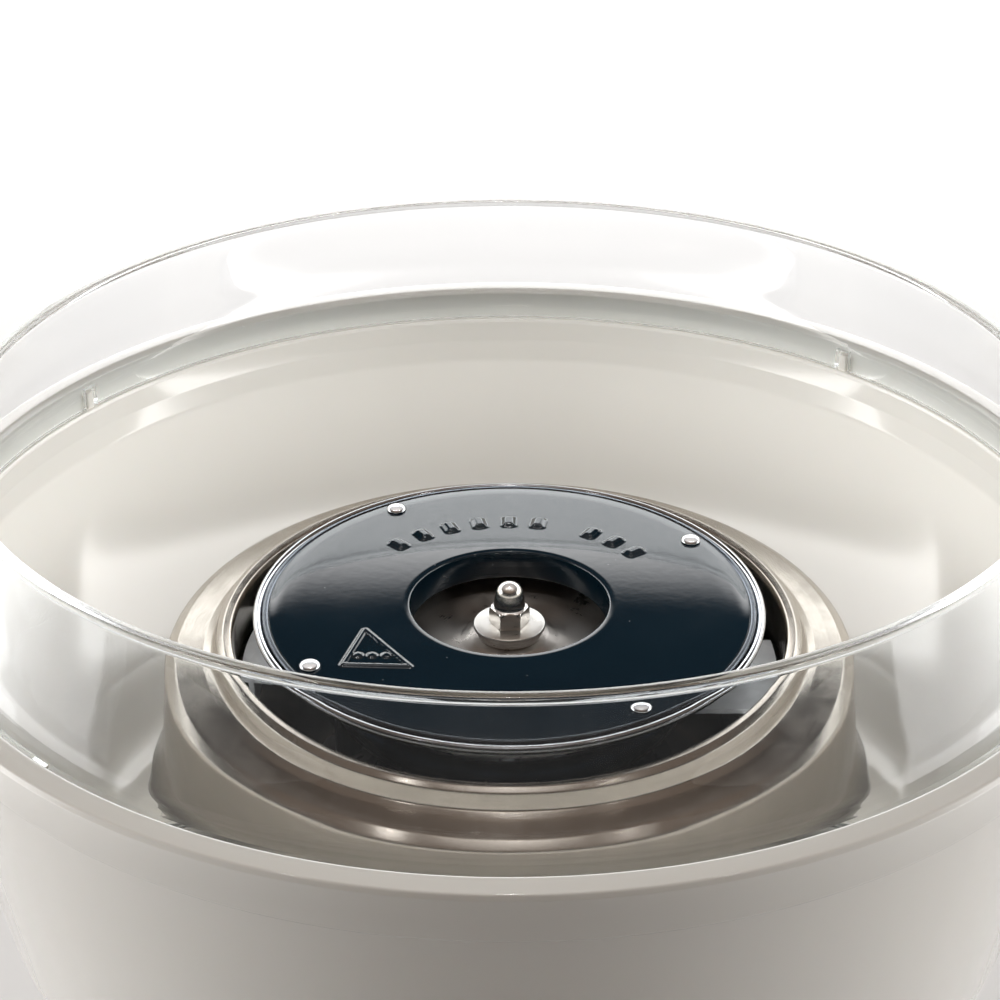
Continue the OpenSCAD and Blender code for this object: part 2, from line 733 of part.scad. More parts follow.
module sugar_pan() {
    pan_bore_r = shaft_r + 0.05;
    // inner face from the shaft to the rolled rim, then the underside; z from the head's rim
    outline = [
        [pan_bore_r, -8.6], [9, -8.6], [11, -9.2], [24, -11.2], [40, -12.2], [43, -11.6],
        [47.2, -3.2], [48.6, -1.8], [pan_r - 1.9, -1.7], [pan_r - 1.5, -0.5],
        [pan_r - 1, -0.08], [pan_r - 0.5, -0.05], [pan_r - 0.1, -0.4], [pan_r, -1],
        [pan_r - 0.2, -1.8], [pan_r - 1, -2.7], [pan_r - 3, -2.9], [49, -2.9], [48.3, -3.6],
        [44, -12.2], [40.4, -13.4], [24, -12.4], [11, -10.4], [8.8, -9.8],
        [pan_bore_r, -9.8]];
    color([0.8, 0.8, 0.81])
    difference() {
        translate([0, 0, head_z]) lathe(outline);
        around(rivet_az, rivet_circle, head_z - 4) rod(1.45, 4);
        // floss slots round the wall
        around([5 : 10 : 355], 43.6, head_z - 8.6) block([5, 3, 1.6]);
    }
}

module cover_plate() {
    bar_az = [135.4, 124.1, 112.8, 101.5, 90.2, 79.1, 58, 47.6, 37.2];
    // top face from the edge to the filling hole, its collar, then the underside
    outline = [
        [cover_r - 0.5, -1.25], [cover_r, -0.8], [cover_r, -0.4], [cover_r - 0.4, 0],
        [46, 0.12], [37, 0.1], [29, 0.04], [fill_r + 1.2, -0.04], [fill_r + 0.6, -0.16],
        [fill_r + 0.2, -0.5], [fill_r, -1.1], [fill_r, -6.9], [fill_r + 0.9, -6.9],
        [fill_r + 0.95, -2.4], [fill_r + 1.5, -1.5], [fill_r + 2.6, -1.1], [31.2, -1.0],
        [37, -0.96], [46, -0.96], [47.6, -1.25]];
    color([0.03, 0.035, 0.05])
    difference() {
        union() {
            translate([0, 0, head_z]) lathe(outline);
            // raised radial bars
            around(bar_az, 34.2, head_z + 0.1) block([5.3, 4, 0.75]);
            // raised triangular frame
            translate([-30.2, -23.3, head_z + 0.05]) rotate([0, 0, 8])
                around([90, 210, 330], -4.9) block([0.9, 16.4, 0.55]);
        }
        around(rivet_az, rivet_circle, head_z - 4) rod(1.45, 8);
    }
}

module cover_rivets() {
    outline = [
        [0, -3.6], [2, -3.55], [2.2, -2.95], [1.4, -2.92], [1.4, 0.3], [2.2, 0.32],
        [2.25, 0.5], [2, 0.85], [1.4, 1.1], [0.7, 1.2], [0, 1.22]];
    color([0.85, 0.85, 0.86])
    around(rivet_az, rivet_circle, head_z) lathe(outline);
}

module hub_washers() {
    // outer radius, z from the head's rim, thickness
    washers = [[7.3, -8.56, 0.96], [7.7, -7.56, 0.96], [8.2, -6.56, 1.1]];
    color([0.83, 0.83, 0.83])
    for (washer = washers)
        translate([0, 0, head_z + washer[1]]) ring(washer[0], shaft_r + 0.1, washer[2]);
}

module dome_nut() {
    nut_turn = 3;
    color([0.84, 0.83, 0.82])
    translate([0, 0, head_z]) difference() {
        union() {
            // hexagon with its corners chamfered
            intersection() {
                translate([0, 0, -5.42]) rotate([0, 0, nut_turn])
                    cylinder(r = nut_af / sqrt(3), h = 4.5, $fn = 6);
                lathe([[0, -6], [nut_af * 0.52, -6], [nut_af * 0.52, -5.4],
                       [nut_af * 0.58, -4.9], [nut_af * 0.58, -1.7], [nut_af * 0.49, -0.95],
                       [0, -0.9]]);
            }
            // dome
            lathe([[0, -1.2], [3.6, -1.2], [3.5, -0.3], [3.42, 0.7], [3.28, 1.6], [3.08, 2.4],
                   [2.75, 3.2], [2.15, 3.95], [1.35, 4.5], [0.6, 4.72], [0, 4.76]]);
        }
        translate([0, 0, -6]) rod(shaft_r + 0.03, 7.4);
    }
}

// ---- lift-off parts ----
module bowl() {
    // floor and outer wall up to the rim, over it to the guard's ledge, then down the inside
    outline = [
        [bowl_hole_r, deck_z], [97, deck_z], [101.5, deck_z + 0.5], [106.4, deck_z + 2.8],
        [110.6, deck_z + 6.6], [114, deck_z + 12], [116.6, deck_z + 18.6], [118, deck_z + 23],
        [119.5, deck_z + 28.6], [131.3, rim_z - 11.2], [133.2, rim_z - 11.2],
        [rim_r, rim_z - 1.4], [rim_r - 0.3, rim_z - 0.5], [rim_r - 1.2, rim_z],
        [129.4, rim_z], [128.5, rim_z - 0.4], [128.2, rim_z - 1.2], [128.2, ledge_z],
        [125.2, ledge_z], [124.8, ledge_z - 0.6], [125, ledge_z - 2], [126, ledge_z - 7],
        [126.5, ledge_z - 13], [116.8, deck_z + 29.2], [115.3, deck_z + 23.6],
        [114, deck_z + 19.4], [111.5, deck_z + 13.2], [108.5, deck_z + 8.6],
        [105, deck_z + 5.4], [101, deck_z + 3.3], [97, deck_z + 2.7],
        [bowl_hole_r + 2.6, deck_z + 2.7], [bowl_hole_r + 2, deck_z + 3.2],
        [bowl_hole_r + 1.8, deck_z + 7], [bowl_hole_r, deck_z + 7]];
    color([0.88, 0.87, 0.83]) {
        difference() {
            lathe(outline);
            // notches over the keys on the base
            around(bowl_key_az, 88, deck_z - 1) block([4.4, 6.4, 3.3]);
        }
        // keys for the splash guard
        around(guard_key_az, 125.8, ledge_z - 0.1) block([2.6, 2.4, 4.4]);
    }
}

module splash_guard() {
    foot_z = ledge_z + 0.05;
    top_z = foot_z + guard_h;
    shoulder_r = 127;
    // curve of the wall, going up: share of the way from lip_r out to shoulder_r, share of guard_h
    curve = [[0.985, 0.3], [0.84, 0.46], [0.64, 0.62], [0.39, 0.78], [0.12, 0.93]];
    function wall_point(share, inset, drop) =
        [lip_r + (shoulder_r - lip_r) * share[0] - inset, foot_z + guard_h * (share[1] - drop)];
    outline = concat(
        [[127.9, foot_z], [127.9, foot_z + 6], [127.6, foot_z + 7.4]],
        [for (share = curve) wall_point(share, 0, 0)],
        [[lip_r, top_z - 0.7], [lip_r - 0.3, top_z - 0.15], [lip_r - 0.9, top_z],
         [lip_r - guard_t + 0.3, top_z], [lip_r - guard_t - 0.1, top_z - 0.6]],
        [for (i = [4 : -1 : 0]) wall_point(curve[i], guard_t, 0.01)],
        [[127.4 - guard_t, foot_z + 7.2], [127.6 - guard_t, foot_z + 6],
         [127.6 - guard_t, foot_z]]);
    color([0.85, 0.9, 0.95, 0.3])
    difference() {
        lathe(outline);
        // notches over the keys in the bowl
        around(guard_key_az, 124, ledge_z - 1) block([6, 4, 6.6]);
    }
}

base_housing();
bottom_plate();
suction_feet();
bottom_screws();
heat_collar();
collar_screws();
heater_reflector();
heater_element();
heater_insulators();
heater_clips();
heater_bracket();
thermal_cutout();
reflector_standoffs();
standoff_screws();
motor_bracket();
bracket_grommets();
bracket_screws();
motor_can();
motor_end_cap();
motor_magnets();
motor_brushes();
motor_bushes();
motor_screws();
rectifier_board();
rectifier_parts();
board_screws();
switch_body();
switch_rocker();
power_cord();
cord_strain_relief();
power_plug();
plug_pins();
wiring();
motor_shaft();
thrust_washers();
armature_core();
armature_windings();
commutator();
hub_seat();
hub_grub_screw();
sugar_pan();
cover_plate();
cover_rivets();
hub_washers();
dome_nut();
bowl();
splash_guard();
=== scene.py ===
# Cotton candy machine: a waisted base, a bowl with a clear guard, and a spinning head in a
# steel collar. The spin axis is Z with +Z up, and the origin is on the floor. The rocker
# switch faces -Y, the front, and the cord leaves at +Y, the rear.
# Shapes are in millimetres, scaled to metres as the meshes are made. Shader, light and camera
# lengths are in metres. In a profile, r is the distance from the axis of revolution.
import bmesh
import bpy
import math
import random
from mathutils import Matrix, Vector


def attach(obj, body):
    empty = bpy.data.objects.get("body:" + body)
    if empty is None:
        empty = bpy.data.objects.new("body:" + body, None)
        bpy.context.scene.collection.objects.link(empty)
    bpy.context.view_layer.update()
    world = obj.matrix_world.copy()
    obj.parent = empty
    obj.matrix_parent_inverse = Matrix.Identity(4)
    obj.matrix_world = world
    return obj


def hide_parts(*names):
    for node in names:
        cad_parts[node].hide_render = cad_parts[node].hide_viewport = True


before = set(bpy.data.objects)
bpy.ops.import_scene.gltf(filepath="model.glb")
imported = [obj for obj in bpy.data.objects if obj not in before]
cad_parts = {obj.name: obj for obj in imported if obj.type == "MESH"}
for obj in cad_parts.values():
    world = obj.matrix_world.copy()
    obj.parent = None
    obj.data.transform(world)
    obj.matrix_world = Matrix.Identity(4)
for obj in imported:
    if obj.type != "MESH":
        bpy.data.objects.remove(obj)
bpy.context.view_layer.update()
MM = 0.001
PI = math.pi
random.seed(7)

# ------------------------------------------------------------------ driving dimensions
LEDGE_Z = 203.0                # the bowl's ledge, which carries the clear guard
HEAD_Z = 188.0                 # datum of the spinning head and the collar
KEY_ANGLES = (90, 210, 330)    # degrees, keys between the base and the bowl
TAB_ANGLES = [math.radians(a) for a in (46.7, 146.5, 226.7, 326.5)]  # bowl tabs, guard notches

CORD_Z = 24.0                  # height of the cord where it leaves the base
CORD_R = 3.2
CORD_BORE = 3.26               # hole in the strain relief
CORD_BEND = 8.0                # bend radius of the cord
CORD_BEND_Y = 115.0            # where it starts to bend down
CORD_RING_R = CORD_BEND_Y + CORD_BEND   # it then lies round the base at this radius
PLUG_ANGLE = 215.0             # degrees, where the cord meets the plug
PLUG_Z = 6.6                   # height of the plug's axis
PIN_Y = 9.5                    # half the pin spacing


# ------------------------------------------------------------------ profiles and angles
def wrap(angle):
    """The same angle between -PI and PI."""
    return (angle + PI) % (2 * PI) - PI


def catmull(points, steps=6):
    """Points on a smooth centripetal curve through points, with so many steps a span."""
    out = []
    pts = [Vector(p) for p in points]
    pts = [2 * pts[0] - pts[1]] + pts + [2 * pts[-1] - pts[-2]]
    for i in range(1, len(pts) - 2):
        p0, p1, p2, p3 = pts[i - 1:i + 3]
        t0 = 0.0
        t1 = t0 + max((p1 - p0).length, 1e-9) ** 0.5
        t2 = t1 + max((p2 - p1).length, 1e-9) ** 0.5
        t3 = t2 + max((p3 - p2).length, 1e-9) ** 0.5
        for k in range(steps):
            t = t1 + (t2 - t1) * k / steps
            a1 = (t1 - t) / (t1 - t0) * p0 + (t - t0) / (t1 - t0) * p1
            a2 = (t2 - t) / (t2 - t1) * p1 + (t - t1) / (t2 - t1) * p2
            a3 = (t3 - t) / (t3 - t2) * p2 + (t - t2) / (t3 - t2) * p3
            b1 = (t2 - t) / (t2 - t0) * a1 + (t - t0) / (t2 - t0) * a2
            b2 = (t3 - t) / (t3 - t1) * a2 + (t - t1) / (t3 - t1) * a3
            out.append(tuple((t2 - t) / (t2 - t1) * b1 + (t - t1) / (t2 - t1) * b2))
    out.append(tuple(pts[-2]))
    return out


def rounded(points, seg=4):
    """Rounds the corners of a profile. A point is (r, z), or (r, z, corner radius)."""
    out = []
    for i, point in enumerate(points):
        if len(point) < 3:
            out.append((point[0], point[1]))
            continue
        corner = Vector(point[:2])
        back = Vector(points[i - 1][:2]) - corner
        ahead = Vector(points[(i + 1) % len(points)][:2]) - corner
        back_len, ahead_len = back.length, ahead.length
        back, ahead = back / back_len, ahead / ahead_len
        angle = math.acos(max(-1, min(1, back.dot(ahead))))
        if angle > PI - 0.03:
            out.append((point[0], point[1]))
            continue
        trim = min(point[2] / math.tan(angle / 2), back_len * 0.48, ahead_len * 0.48)
        radius = trim * math.tan(angle / 2)
        centre = corner + (back + ahead).normalized() * (radius / math.sin(angle / 2))
        start = corner + back * trim - centre
        end = corner + ahead * trim - centre
        first = math.atan2(start.y, start.x)
        swing = wrap(math.atan2(end.y, end.x) - first)
        for k in range(seg + 1):
            t = first + swing * k / seg
            out.append((centre.x + radius * math.cos(t), centre.y + radius * math.sin(t)))
    return out


def bridge(points, seg=4):
    """Rounded points between two end points, which are left out."""
    return rounded(points, seg)[1:-1]


def lift(points):
    """Profile points whose heights were given from HEAD_Z."""
    return [(p[0], p[1] + HEAD_Z) + tuple(p[2:]) for p in points]


def even(count, start=0.0):
    return [start + 2 * PI * k / count for k in range(count)]


def stepped(count, spans, eps=0.0006):
    """Even angles, plus a close pair at both ends of each (centre, half width) span.

    The pairs give a notch square sides."""
    extra = []
    for centre, half in spans:
        for side in (-1, 1):
            end = (centre + side * half) % (2 * PI)
            extra += [(end - eps) % (2 * PI), (end + eps) % (2 * PI)]
    gap = 2 * PI / count * 0.3
    keep = [a for a in even(count) if all(abs(wrap(a - e)) > gap for e in extra)]
    return sorted(keep + extra)


def in_span(angle, spans):
    return any(abs(wrap(angle - centre)) < half for centre, half in spans)


# ------------------------------------------------------------------ meshes
def shift(x, y, z):
    return Matrix.Translation((x * MM, y * MM, z * MM))


def turn(angle, axis="Z"):
    return Matrix.Rotation(angle, 4, axis)


def place(ob, matrix):
    ob.data.transform(matrix)
    return ob


def shade(mesh, crease):
    """Smooth shading, sharp at edges steeper than crease degrees."""
    mesh.polygons.foreach_set("use_smooth", [True] * len(mesh.polygons))
    mesh.set_sharp_from_angle(angle=math.radians(crease))
    mesh.update()


def finish_mesh(bm, name, crease=38):
    bmesh.ops.recalc_face_normals(bm, faces=bm.faces)
    mesh = bpy.data.meshes.new(name)
    bm.to_mesh(mesh)
    bm.free()
    shade(mesh, crease)
    ob = bpy.data.objects.new(name, mesh)
    bpy.context.scene.collection.objects.link(ob)
    return ob


def lathe(name, profile, sides=192, vary=None, angles=None, crease=38):
    """Revolves a closed profile about Z. vary(angle, profile) may move its points."""
    bm = bmesh.new()
    cols = []
    poles = {}
    for a in angles or even(sides):
        col = []
        for i, (r, z) in enumerate(vary(a, profile) if vary else profile):
            if r < 1e-6:
                if i not in poles:
                    poles[i] = bm.verts.new((0, 0, z * MM))
                col.append(poles[i])
            else:
                col.append(bm.verts.new((r * math.cos(a) * MM, r * math.sin(a) * MM, z * MM)))
        cols.append(col)
    for j, col in enumerate(cols):
        after = cols[(j + 1) % len(cols)]
        for i in range(len(profile)):
            k = (i + 1) % len(profile)
            corners = list(dict.fromkeys((col[i], after[i], after[k], col[k])))
            if len(corners) > 2:
                bm.faces.new(corners)
    return finish_mesh(bm, name, crease)


def lathe_x(profile, sides, crease):
    """A turned form about the local X axis, from a profile of (x, r)."""
    ob = lathe("turned", [(r, x) for x, r in profile], sides, crease=crease)
    return place(ob, turn(PI / 2, "Y"))


def join(name, obs, crease=38):
    """One mesh from several, kept as separate closed shells."""
    bm = bmesh.new()
    for ob in obs:
        bm.from_mesh(ob.data)
        bpy.data.objects.remove(ob)
    return finish_mesh(bm, name, crease)


def block(lo, hi, bevel, seg):
    """A box with bevelled edges, between two corners."""
    bm = bmesh.new()
    bmesh.ops.create_cube(bm, size=1)
    lo, hi = Vector(lo) * MM, Vector(hi) * MM
    for v in bm.verts:
        v.co = Vector([lo[i] + (v.co[i] + 0.5) * (hi[i] - lo[i]) for i in range(3)])
    bmesh.ops.bevel(bm, geom=bm.edges[:], offset=bevel * MM, segments=seg, affect="EDGES",
                    profile=0.5)
    return finish_mesh(bm, "block")


def skin(bm, rings):
    """Faces between each ring of vertices and the next."""
    for a, b in zip(rings, rings[1:]):
        for i in range(len(a)):
            k = (i + 1) % len(a)
            bm.faces.new((a[i], a[k], b[k], b[i]))


def capped_skin(bm, rings):
    skin(bm, rings)
    bm.faces.new(rings[0])
    bm.faces.new(rings[-1])


def tube(name, path, radius, sides):
    """A round tube along a list of points, with frames carried along the path."""
    pts = [Vector(p) * MM for p in path]
    bm = bmesh.new()
    rings = []
    last = None
    for i, point in enumerate(pts):
        along = (pts[min(i + 1, len(pts) - 1)] - pts[max(i - 1, 0)]).normalized()
        if last is None:
            side = along.orthogonal().normalized()
        else:
            side = (last.rotation_difference(along) @ side).normalized()
        last = along
        up = along.cross(side)
        rings.append([bm.verts.new(point + (side * math.cos(t) + up * math.sin(t)) * radius * MM)
                      for t in even(sides)])
    capped_skin(bm, rings)
    return finish_mesh(bm, name, crease=50)


def boolean(ob, tool, operation):
    modifier = ob.modifiers.new("b", "BOOLEAN")
    modifier.object = tool
    modifier.operation = operation
    modifier.solver = "EXACT"
    graph = bpy.context.evaluated_depsgraph_get()
    mesh = bpy.data.meshes.new_from_object(ob.evaluated_get(graph))
    ob.modifiers.clear()
    ob.data = mesh
    bpy.data.objects.remove(tool)


# ------------------------------------------------------------------ shader nodes
class Shader:
    """A material's or world's nodes. An input is fed a plain value or another node's output."""

    def __init__(self, owner, main="Principled BSDF"):
        owner.use_nodes = True
        self.owner = owner
        self.tree = owner.node_tree
        self.main = self.tree.nodes[main]

    def feed(self, node, inputs):
        for key, value in inputs.items():
            socket = node.inputs[key]
            if isinstance(value, bpy.types.NodeSocket):
                self.tree.links.new(value, socket)
            elif socket.type == "RGBA" and len(value) == 3:
                socket.default_value = (*value, 1)
            else:
                socket.default_value = value

    def surface(self, inputs):
        self.feed(self.main, inputs)

    def add(self, kind, inputs=None, **settings):
        node = self.tree.nodes.new("ShaderNode" + kind)
        for key, value in settings.items():
            setattr(node, key, value)
        self.feed(node, inputs or {})
        return node

    def position(self, scale=(1, 1, 1), rotation=(0, 0, 0)):
        """Object coordinates, scaled and turned."""
        where = self.add("TexCoord").outputs["Object"]
        inputs = {"Vector": where, "Scale": scale, "Rotation": rotation}
        return self.add("Mapping", inputs).outputs["Vector"]

    def xyz(self, vector):
        return self.add("SeparateXYZ", {0: vector}).outputs

    def normal(self):
        return self.xyz(self.add("NewGeometry").outputs["Normal"])

    def rays(self):
        return self.add("LightPath").outputs

    def noise(self, vector, scale, detail=4.0, rough=0.55, warp=0.0):
        inputs = {"Vector": vector, "Scale": scale, "Detail": detail, "Roughness": rough,
                  "Distortion": warp}
        return self.add("TexNoise", inputs).outputs["Fac"]

    def cells(self, vector, scale):
        """Voronoi cells: the distance to a cell's centre, and the cell's random channels."""
        out = self.add("TexVoronoi", {"Vector": vector, "Scale": scale}).outputs
        channels = self.add("SeparateColor", {"Color": out["Color"]}).outputs
        return out["Distance"], channels

    def ramp(self, fac, stops):
        """Colour ramp of (position, grey level or colour) stops."""
        node = self.add("ValToRGB", {"Fac": fac})
        elements = node.color_ramp.elements
        while len(elements) < len(stops):
            elements.new(0.5)
        for element, (position, c) in zip(elements, stops):
            element.position = position
            element.color = (c, c, c, 1) if isinstance(c, (int, float)) else (*c, 1)
        return node.outputs["Color"]

    def remap(self, value, over=(0.0, 1.0), to=(0.0, 1.0)):
        """Carries the range over onto the range to, clamped."""
        inputs = {"Value": value, "From Min": over[0], "From Max": over[1],
                  "To Min": to[0], "To Max": to[1]}
        return self.add("MapRange", inputs).outputs["Result"]

    def mix(self, fac, a, b):
        return self.add("Mix", {0: fac, 6: a, 7: b}, data_type="RGBA").outputs[2]

    def mix_shaders(self, fac, a, b):
        return self.add("MixShader", {0: fac, 1: a, 2: b}).outputs[0]

    def math(self, operation, *values):
        return self.add("Math", dict(enumerate(values)), operation=operation).outputs[0]

    def times(self, a, b):
        return self.math("MULTIPLY", a, b)

    def bump(self, height, strength, distance, under=None):
        inputs = {"Height": height, "Strength": strength, "Distance": distance}
        if under is not None:
            inputs["Normal"] = under
        return self.add("Bump", inputs).outputs["Normal"]

    def seen_directly(self, rays):
        """1 for what the camera sees, straight or through clear plastic."""
        bounces = self.math("ADD", rays["Glossy Depth"], rays["Diffuse Depth"])
        through = self.times(rays["Is Transmission Ray"], self.math("LESS_THAN", bounces, 0.5))
        return self.math("MAXIMUM", rays["Is Camera Ray"], through)


def new_look(name):
    return Shader(bpy.data.materials.new(name))


def linear(colour):
    """sRGB 0..255 to linear."""
    def channel(c):
        c /= 255
        return c / 12.92 if c <= 0.04045 else ((c + 0.055) / 1.055) ** 2.4
    return tuple(channel(c) for c in colour)


def tone(colour, gain, plus=0.0):
    """A linear colour made darker or lighter."""
    return tuple(min(1, c * gain + plus) for c in colour)


# ------------------------------------------------------------------ material families
MIDDLE = (0.3, 0.7)    # the part of a noise's range that is spread over the full effect


def plastic(name, colour, rough, tint, grain=0.0, grain_scale=1800, coat=0.0, sss=0.0):
    """Moulded plastic: faint flow marks in colour, uneven gloss, and a fine moulded grain."""
    look = new_look(name)
    colour = linear(colour)
    here = look.position()
    flow = look.noise(here, scale=9, detail=5, rough=0.6, warp=0.3)
    smear = look.noise(here, scale=60, detail=6, rough=0.65, warp=0.6)
    if grain:
        fine = look.noise(here, scale=grain_scale, detail=3, rough=0.6)
        normal = look.bump(fine, strength=grain, distance=0.00012)
    else:
        wave = look.noise(here, scale=55, detail=3, rough=0.5)
        normal = look.bump(wave, strength=0.06, distance=0.0006)
    look.surface({
        "Base Color": look.mix(look.remap(flow, over=MIDDLE),
                               tone(colour, 1 - tint), tone(colour, 1 + tint * 0.6)),
        "Roughness": look.remap(smear, over=MIDDLE, to=(rough * 0.82, rough * 1.25)),
        "Normal": normal,
        "IOR": 1.49,
    })
    if coat:
        look.surface({"Coat Weight": coat, "Coat Roughness": 0.06})
    if sss:
        look.surface({"Subsurface Weight": sss, "Subsurface Radius": (0.004, 0.003, 0.002),
                      "Subsurface Scale": 1.0})
    return look.owner


def turning_lines(look, here, scale):
    """Noise stretched round the spin axis."""
    x, y, z = look.xyz(here)
    squares = [look.math("POWER", v, 2.0) for v in (x, y)]
    radius = look.math("SQRT", look.math("ADD", *squares))
    around = look.times(look.math("ARCTAN2", y, x), 0.0004)
    ring = look.add("CombineXYZ", {0: radius, 1: look.times(z, 1.0), 2: around})
    return look.noise(ring.outputs[0], scale=scale * 3, detail=6, rough=0.75)


def metal(name, colour, rough, aniso=0.0, ring=0.0, ring_scale=900, spangle=0.0, tarnish=0.06,
          scratch=0.12, metallic=1.0, painted_shade_below=0.0, painted_rear_light=0.0, painted_front_shade=0.0,
          painted_top_light=0.0):
    """Metal with turning lines, blotchy gloss, and hair scratches.

    ring is the depth of the turning lines, and spangle the scale of a galvanised pattern.
    painted_shade_below is a height in metres, below which the colour is darker: painted shade,
    where the part sits low in shadow.
    painted_rear_light paints light on the far side, as an emission seen only in what other
    surfaces mirror, where a lamp behind would light it.
    painted_front_shade darkens faces turned to the front: painted shade, standing for the dim room
    they mirror.
    painted_top_light brightens upward faces, as a lamp close above would."""
    look = new_look(name)
    colour = linear(colour)
    here = look.position()
    blotch = look.noise(here, scale=45, detail=6, rough=0.6, warp=0.8)
    base = look.mix(look.remap(blotch, over=(0.32, 0.68)), tone(colour, 1 - tarnish * 2.2), colour)
    smear = look.noise(here, scale=140, detail=5, rough=0.7, warp=0.4)
    gloss = look.remap(smear, over=MIDDLE, to=(rough * 0.75, rough * 1.3))
    normal = None
    if spangle:
        _, channels = look.cells(here, scale=spangle)
        base = look.mix(look.remap(channels[0], to=(0, 0.55)), base, tone(colour, 0.72))
        gloss = look.math("ADD", gloss, look.remap(channels[1], to=(-0.08, 0.16)))
    if ring:
        lines = turning_lines(look, here, ring_scale)
        if ring > 0.01:
            normal = look.bump(lines, strength=ring, distance=0.00006)
        gloss = look.math("ADD", gloss, look.remap(lines, over=(0.3, 0.75), to=(-0.02, 0.05)))
        base = look.mix(look.remap(lines, over=(0.25, 0.8), to=(0, 0.35)), base,
                        tone(colour, 0.8))
    if scratch:
        stretched = look.position(scale=(1, 0.06, 0.4), rotation=(0.4, 0.7, 1.1))
        hairs = look.noise(stretched, scale=900, detail=8, rough=0.8)
        normal = look.bump(hairs, strength=scratch, distance=0.00003, under=normal)
    height = look.xyz(here)[2] if painted_shade_below or painted_rear_light else None
    if painted_shade_below:
        # painted shade: the colour turns dark below this height
        low = look.remap(height, over=(painted_shade_below - 0.004, painted_shade_below + 0.004), to=(1.0, 0.0))
        base = look.mix(look.times(low, 0.85), base, tone(colour, 0.2))
    if painted_rear_light:
        # painted light: rear faces glow in what other surfaces mirror
        facing_rear = look.remap(look.normal()[1], over=(0.55, 0.66))
        glow = look.times(facing_rear, look.rays()["Is Glossy Ray"])
        # (height in metres, strength)
        zone = look.ramp(height, [(0.0, 0.0), (0.12, 0.0), (0.124, 1.0), (0.1455, 1.0),
                                  (0.1465, 0.35), (0.1480, 0.35), (0.149, 0.0)])
        look.surface({"Emission Strength": look.times(look.times(glow, zone), painted_rear_light),
                      "Emission Color": (1, 0.99, 0.97)})
    if painted_front_shade:
        # painted shade on the faces turned to the front
        front_shade_mask = look.remap(look.normal()[1], over=(-0.6, -0.12), to=(painted_front_shade, 0.0))
        base = look.mix(front_shade_mask, base, tone(colour, 0.12))
    if painted_top_light:
        # painted highlight: upward faces glow, where a lamp close above would light them
        glow = look.remap(look.normal()[2], over=(0.7, 0.93), to=(0.0, painted_top_light))
        look.surface({"Emission Strength": glow, "Emission Color": (0.97, 0.98, 1.0)})
    look.surface({"Metallic": metallic, "Base Color": base, "Roughness": gloss})
    if normal is not None:
        look.surface({"Normal": normal})
    if aniso:
        tangent = look.add("Tangent", direction_type="RADIAL", axis="Z")
        look.surface({"Anisotropic": aniso, "Anisotropic Rotation": 0.25,
                      "Tangent": tangent.outputs[0]})
    return look.owner


def rubber(name, colour, rough, grain=0.25):
    """Matt rubber with patches of pale dust."""
    look = new_look(name)
    colour = linear(colour)
    here = look.position()
    dust = look.noise(here, scale=35, detail=6, rough=0.65, warp=0.5)
    fine = look.noise(here, scale=1400, detail=4, rough=0.7)
    look.surface({
        "Base Color": look.mix(look.remap(dust, over=(0.45, 0.8), to=(0, 0.7)), colour,
                               tone(colour, 1.6, plus=0.012)),
        "Roughness": look.remap(dust, over=MIDDLE, to=(rough * 0.85, min(1, rough * 1.2))),
        "Normal": look.bump(fine, strength=grain, distance=0.0001),
        "Specular IOR Level": 0.35,
    })
    return look.owner


# ------------------------------------------------------------------ single materials
def enamel():
    """Gloss black enamel with a blue cast, dust specks and faint orange peel."""
    look = new_look("black_enamel")
    here = look.position()
    drift = look.noise(here, scale=14, detail=5, rough=0.6, warp=0.4)
    base = look.mix(look.remap(drift, over=MIDDLE),
                    (0.0011, 0.0045, 0.0076), (0.0018, 0.0070, 0.0114))
    distance, channels = look.cells(here, scale=520)
    speck = look.ramp(distance, [(0.0, 1.0), (0.055, 1.0), (0.09, 0.0)])
    few = look.ramp(channels[0], [(0.0, 0.0), (0.9, 0.0), (0.93, 0.55)])
    dots = look.times(speck, few)
    smear = look.noise(here, scale=70, detail=5, rough=0.65)
    gloss = look.remap(smear, over=MIDDLE, to=(0.025, 0.05))
    peel = look.noise(here, scale=420, detail=2, rough=0.5)
    look.surface({
        "Base Color": look.mix(dots, base, (0.22, 0.22, 0.23)),
        "Roughness": look.math("ADD", gloss, look.times(dots, 0.3)),
        "Normal": look.bump(peel, strength=0.014, distance=0.0002),
        "IOR": 1.52,
        "Coat Weight": 0.4,
        "Coat Roughness": 0.025,
    })
    return look.owner


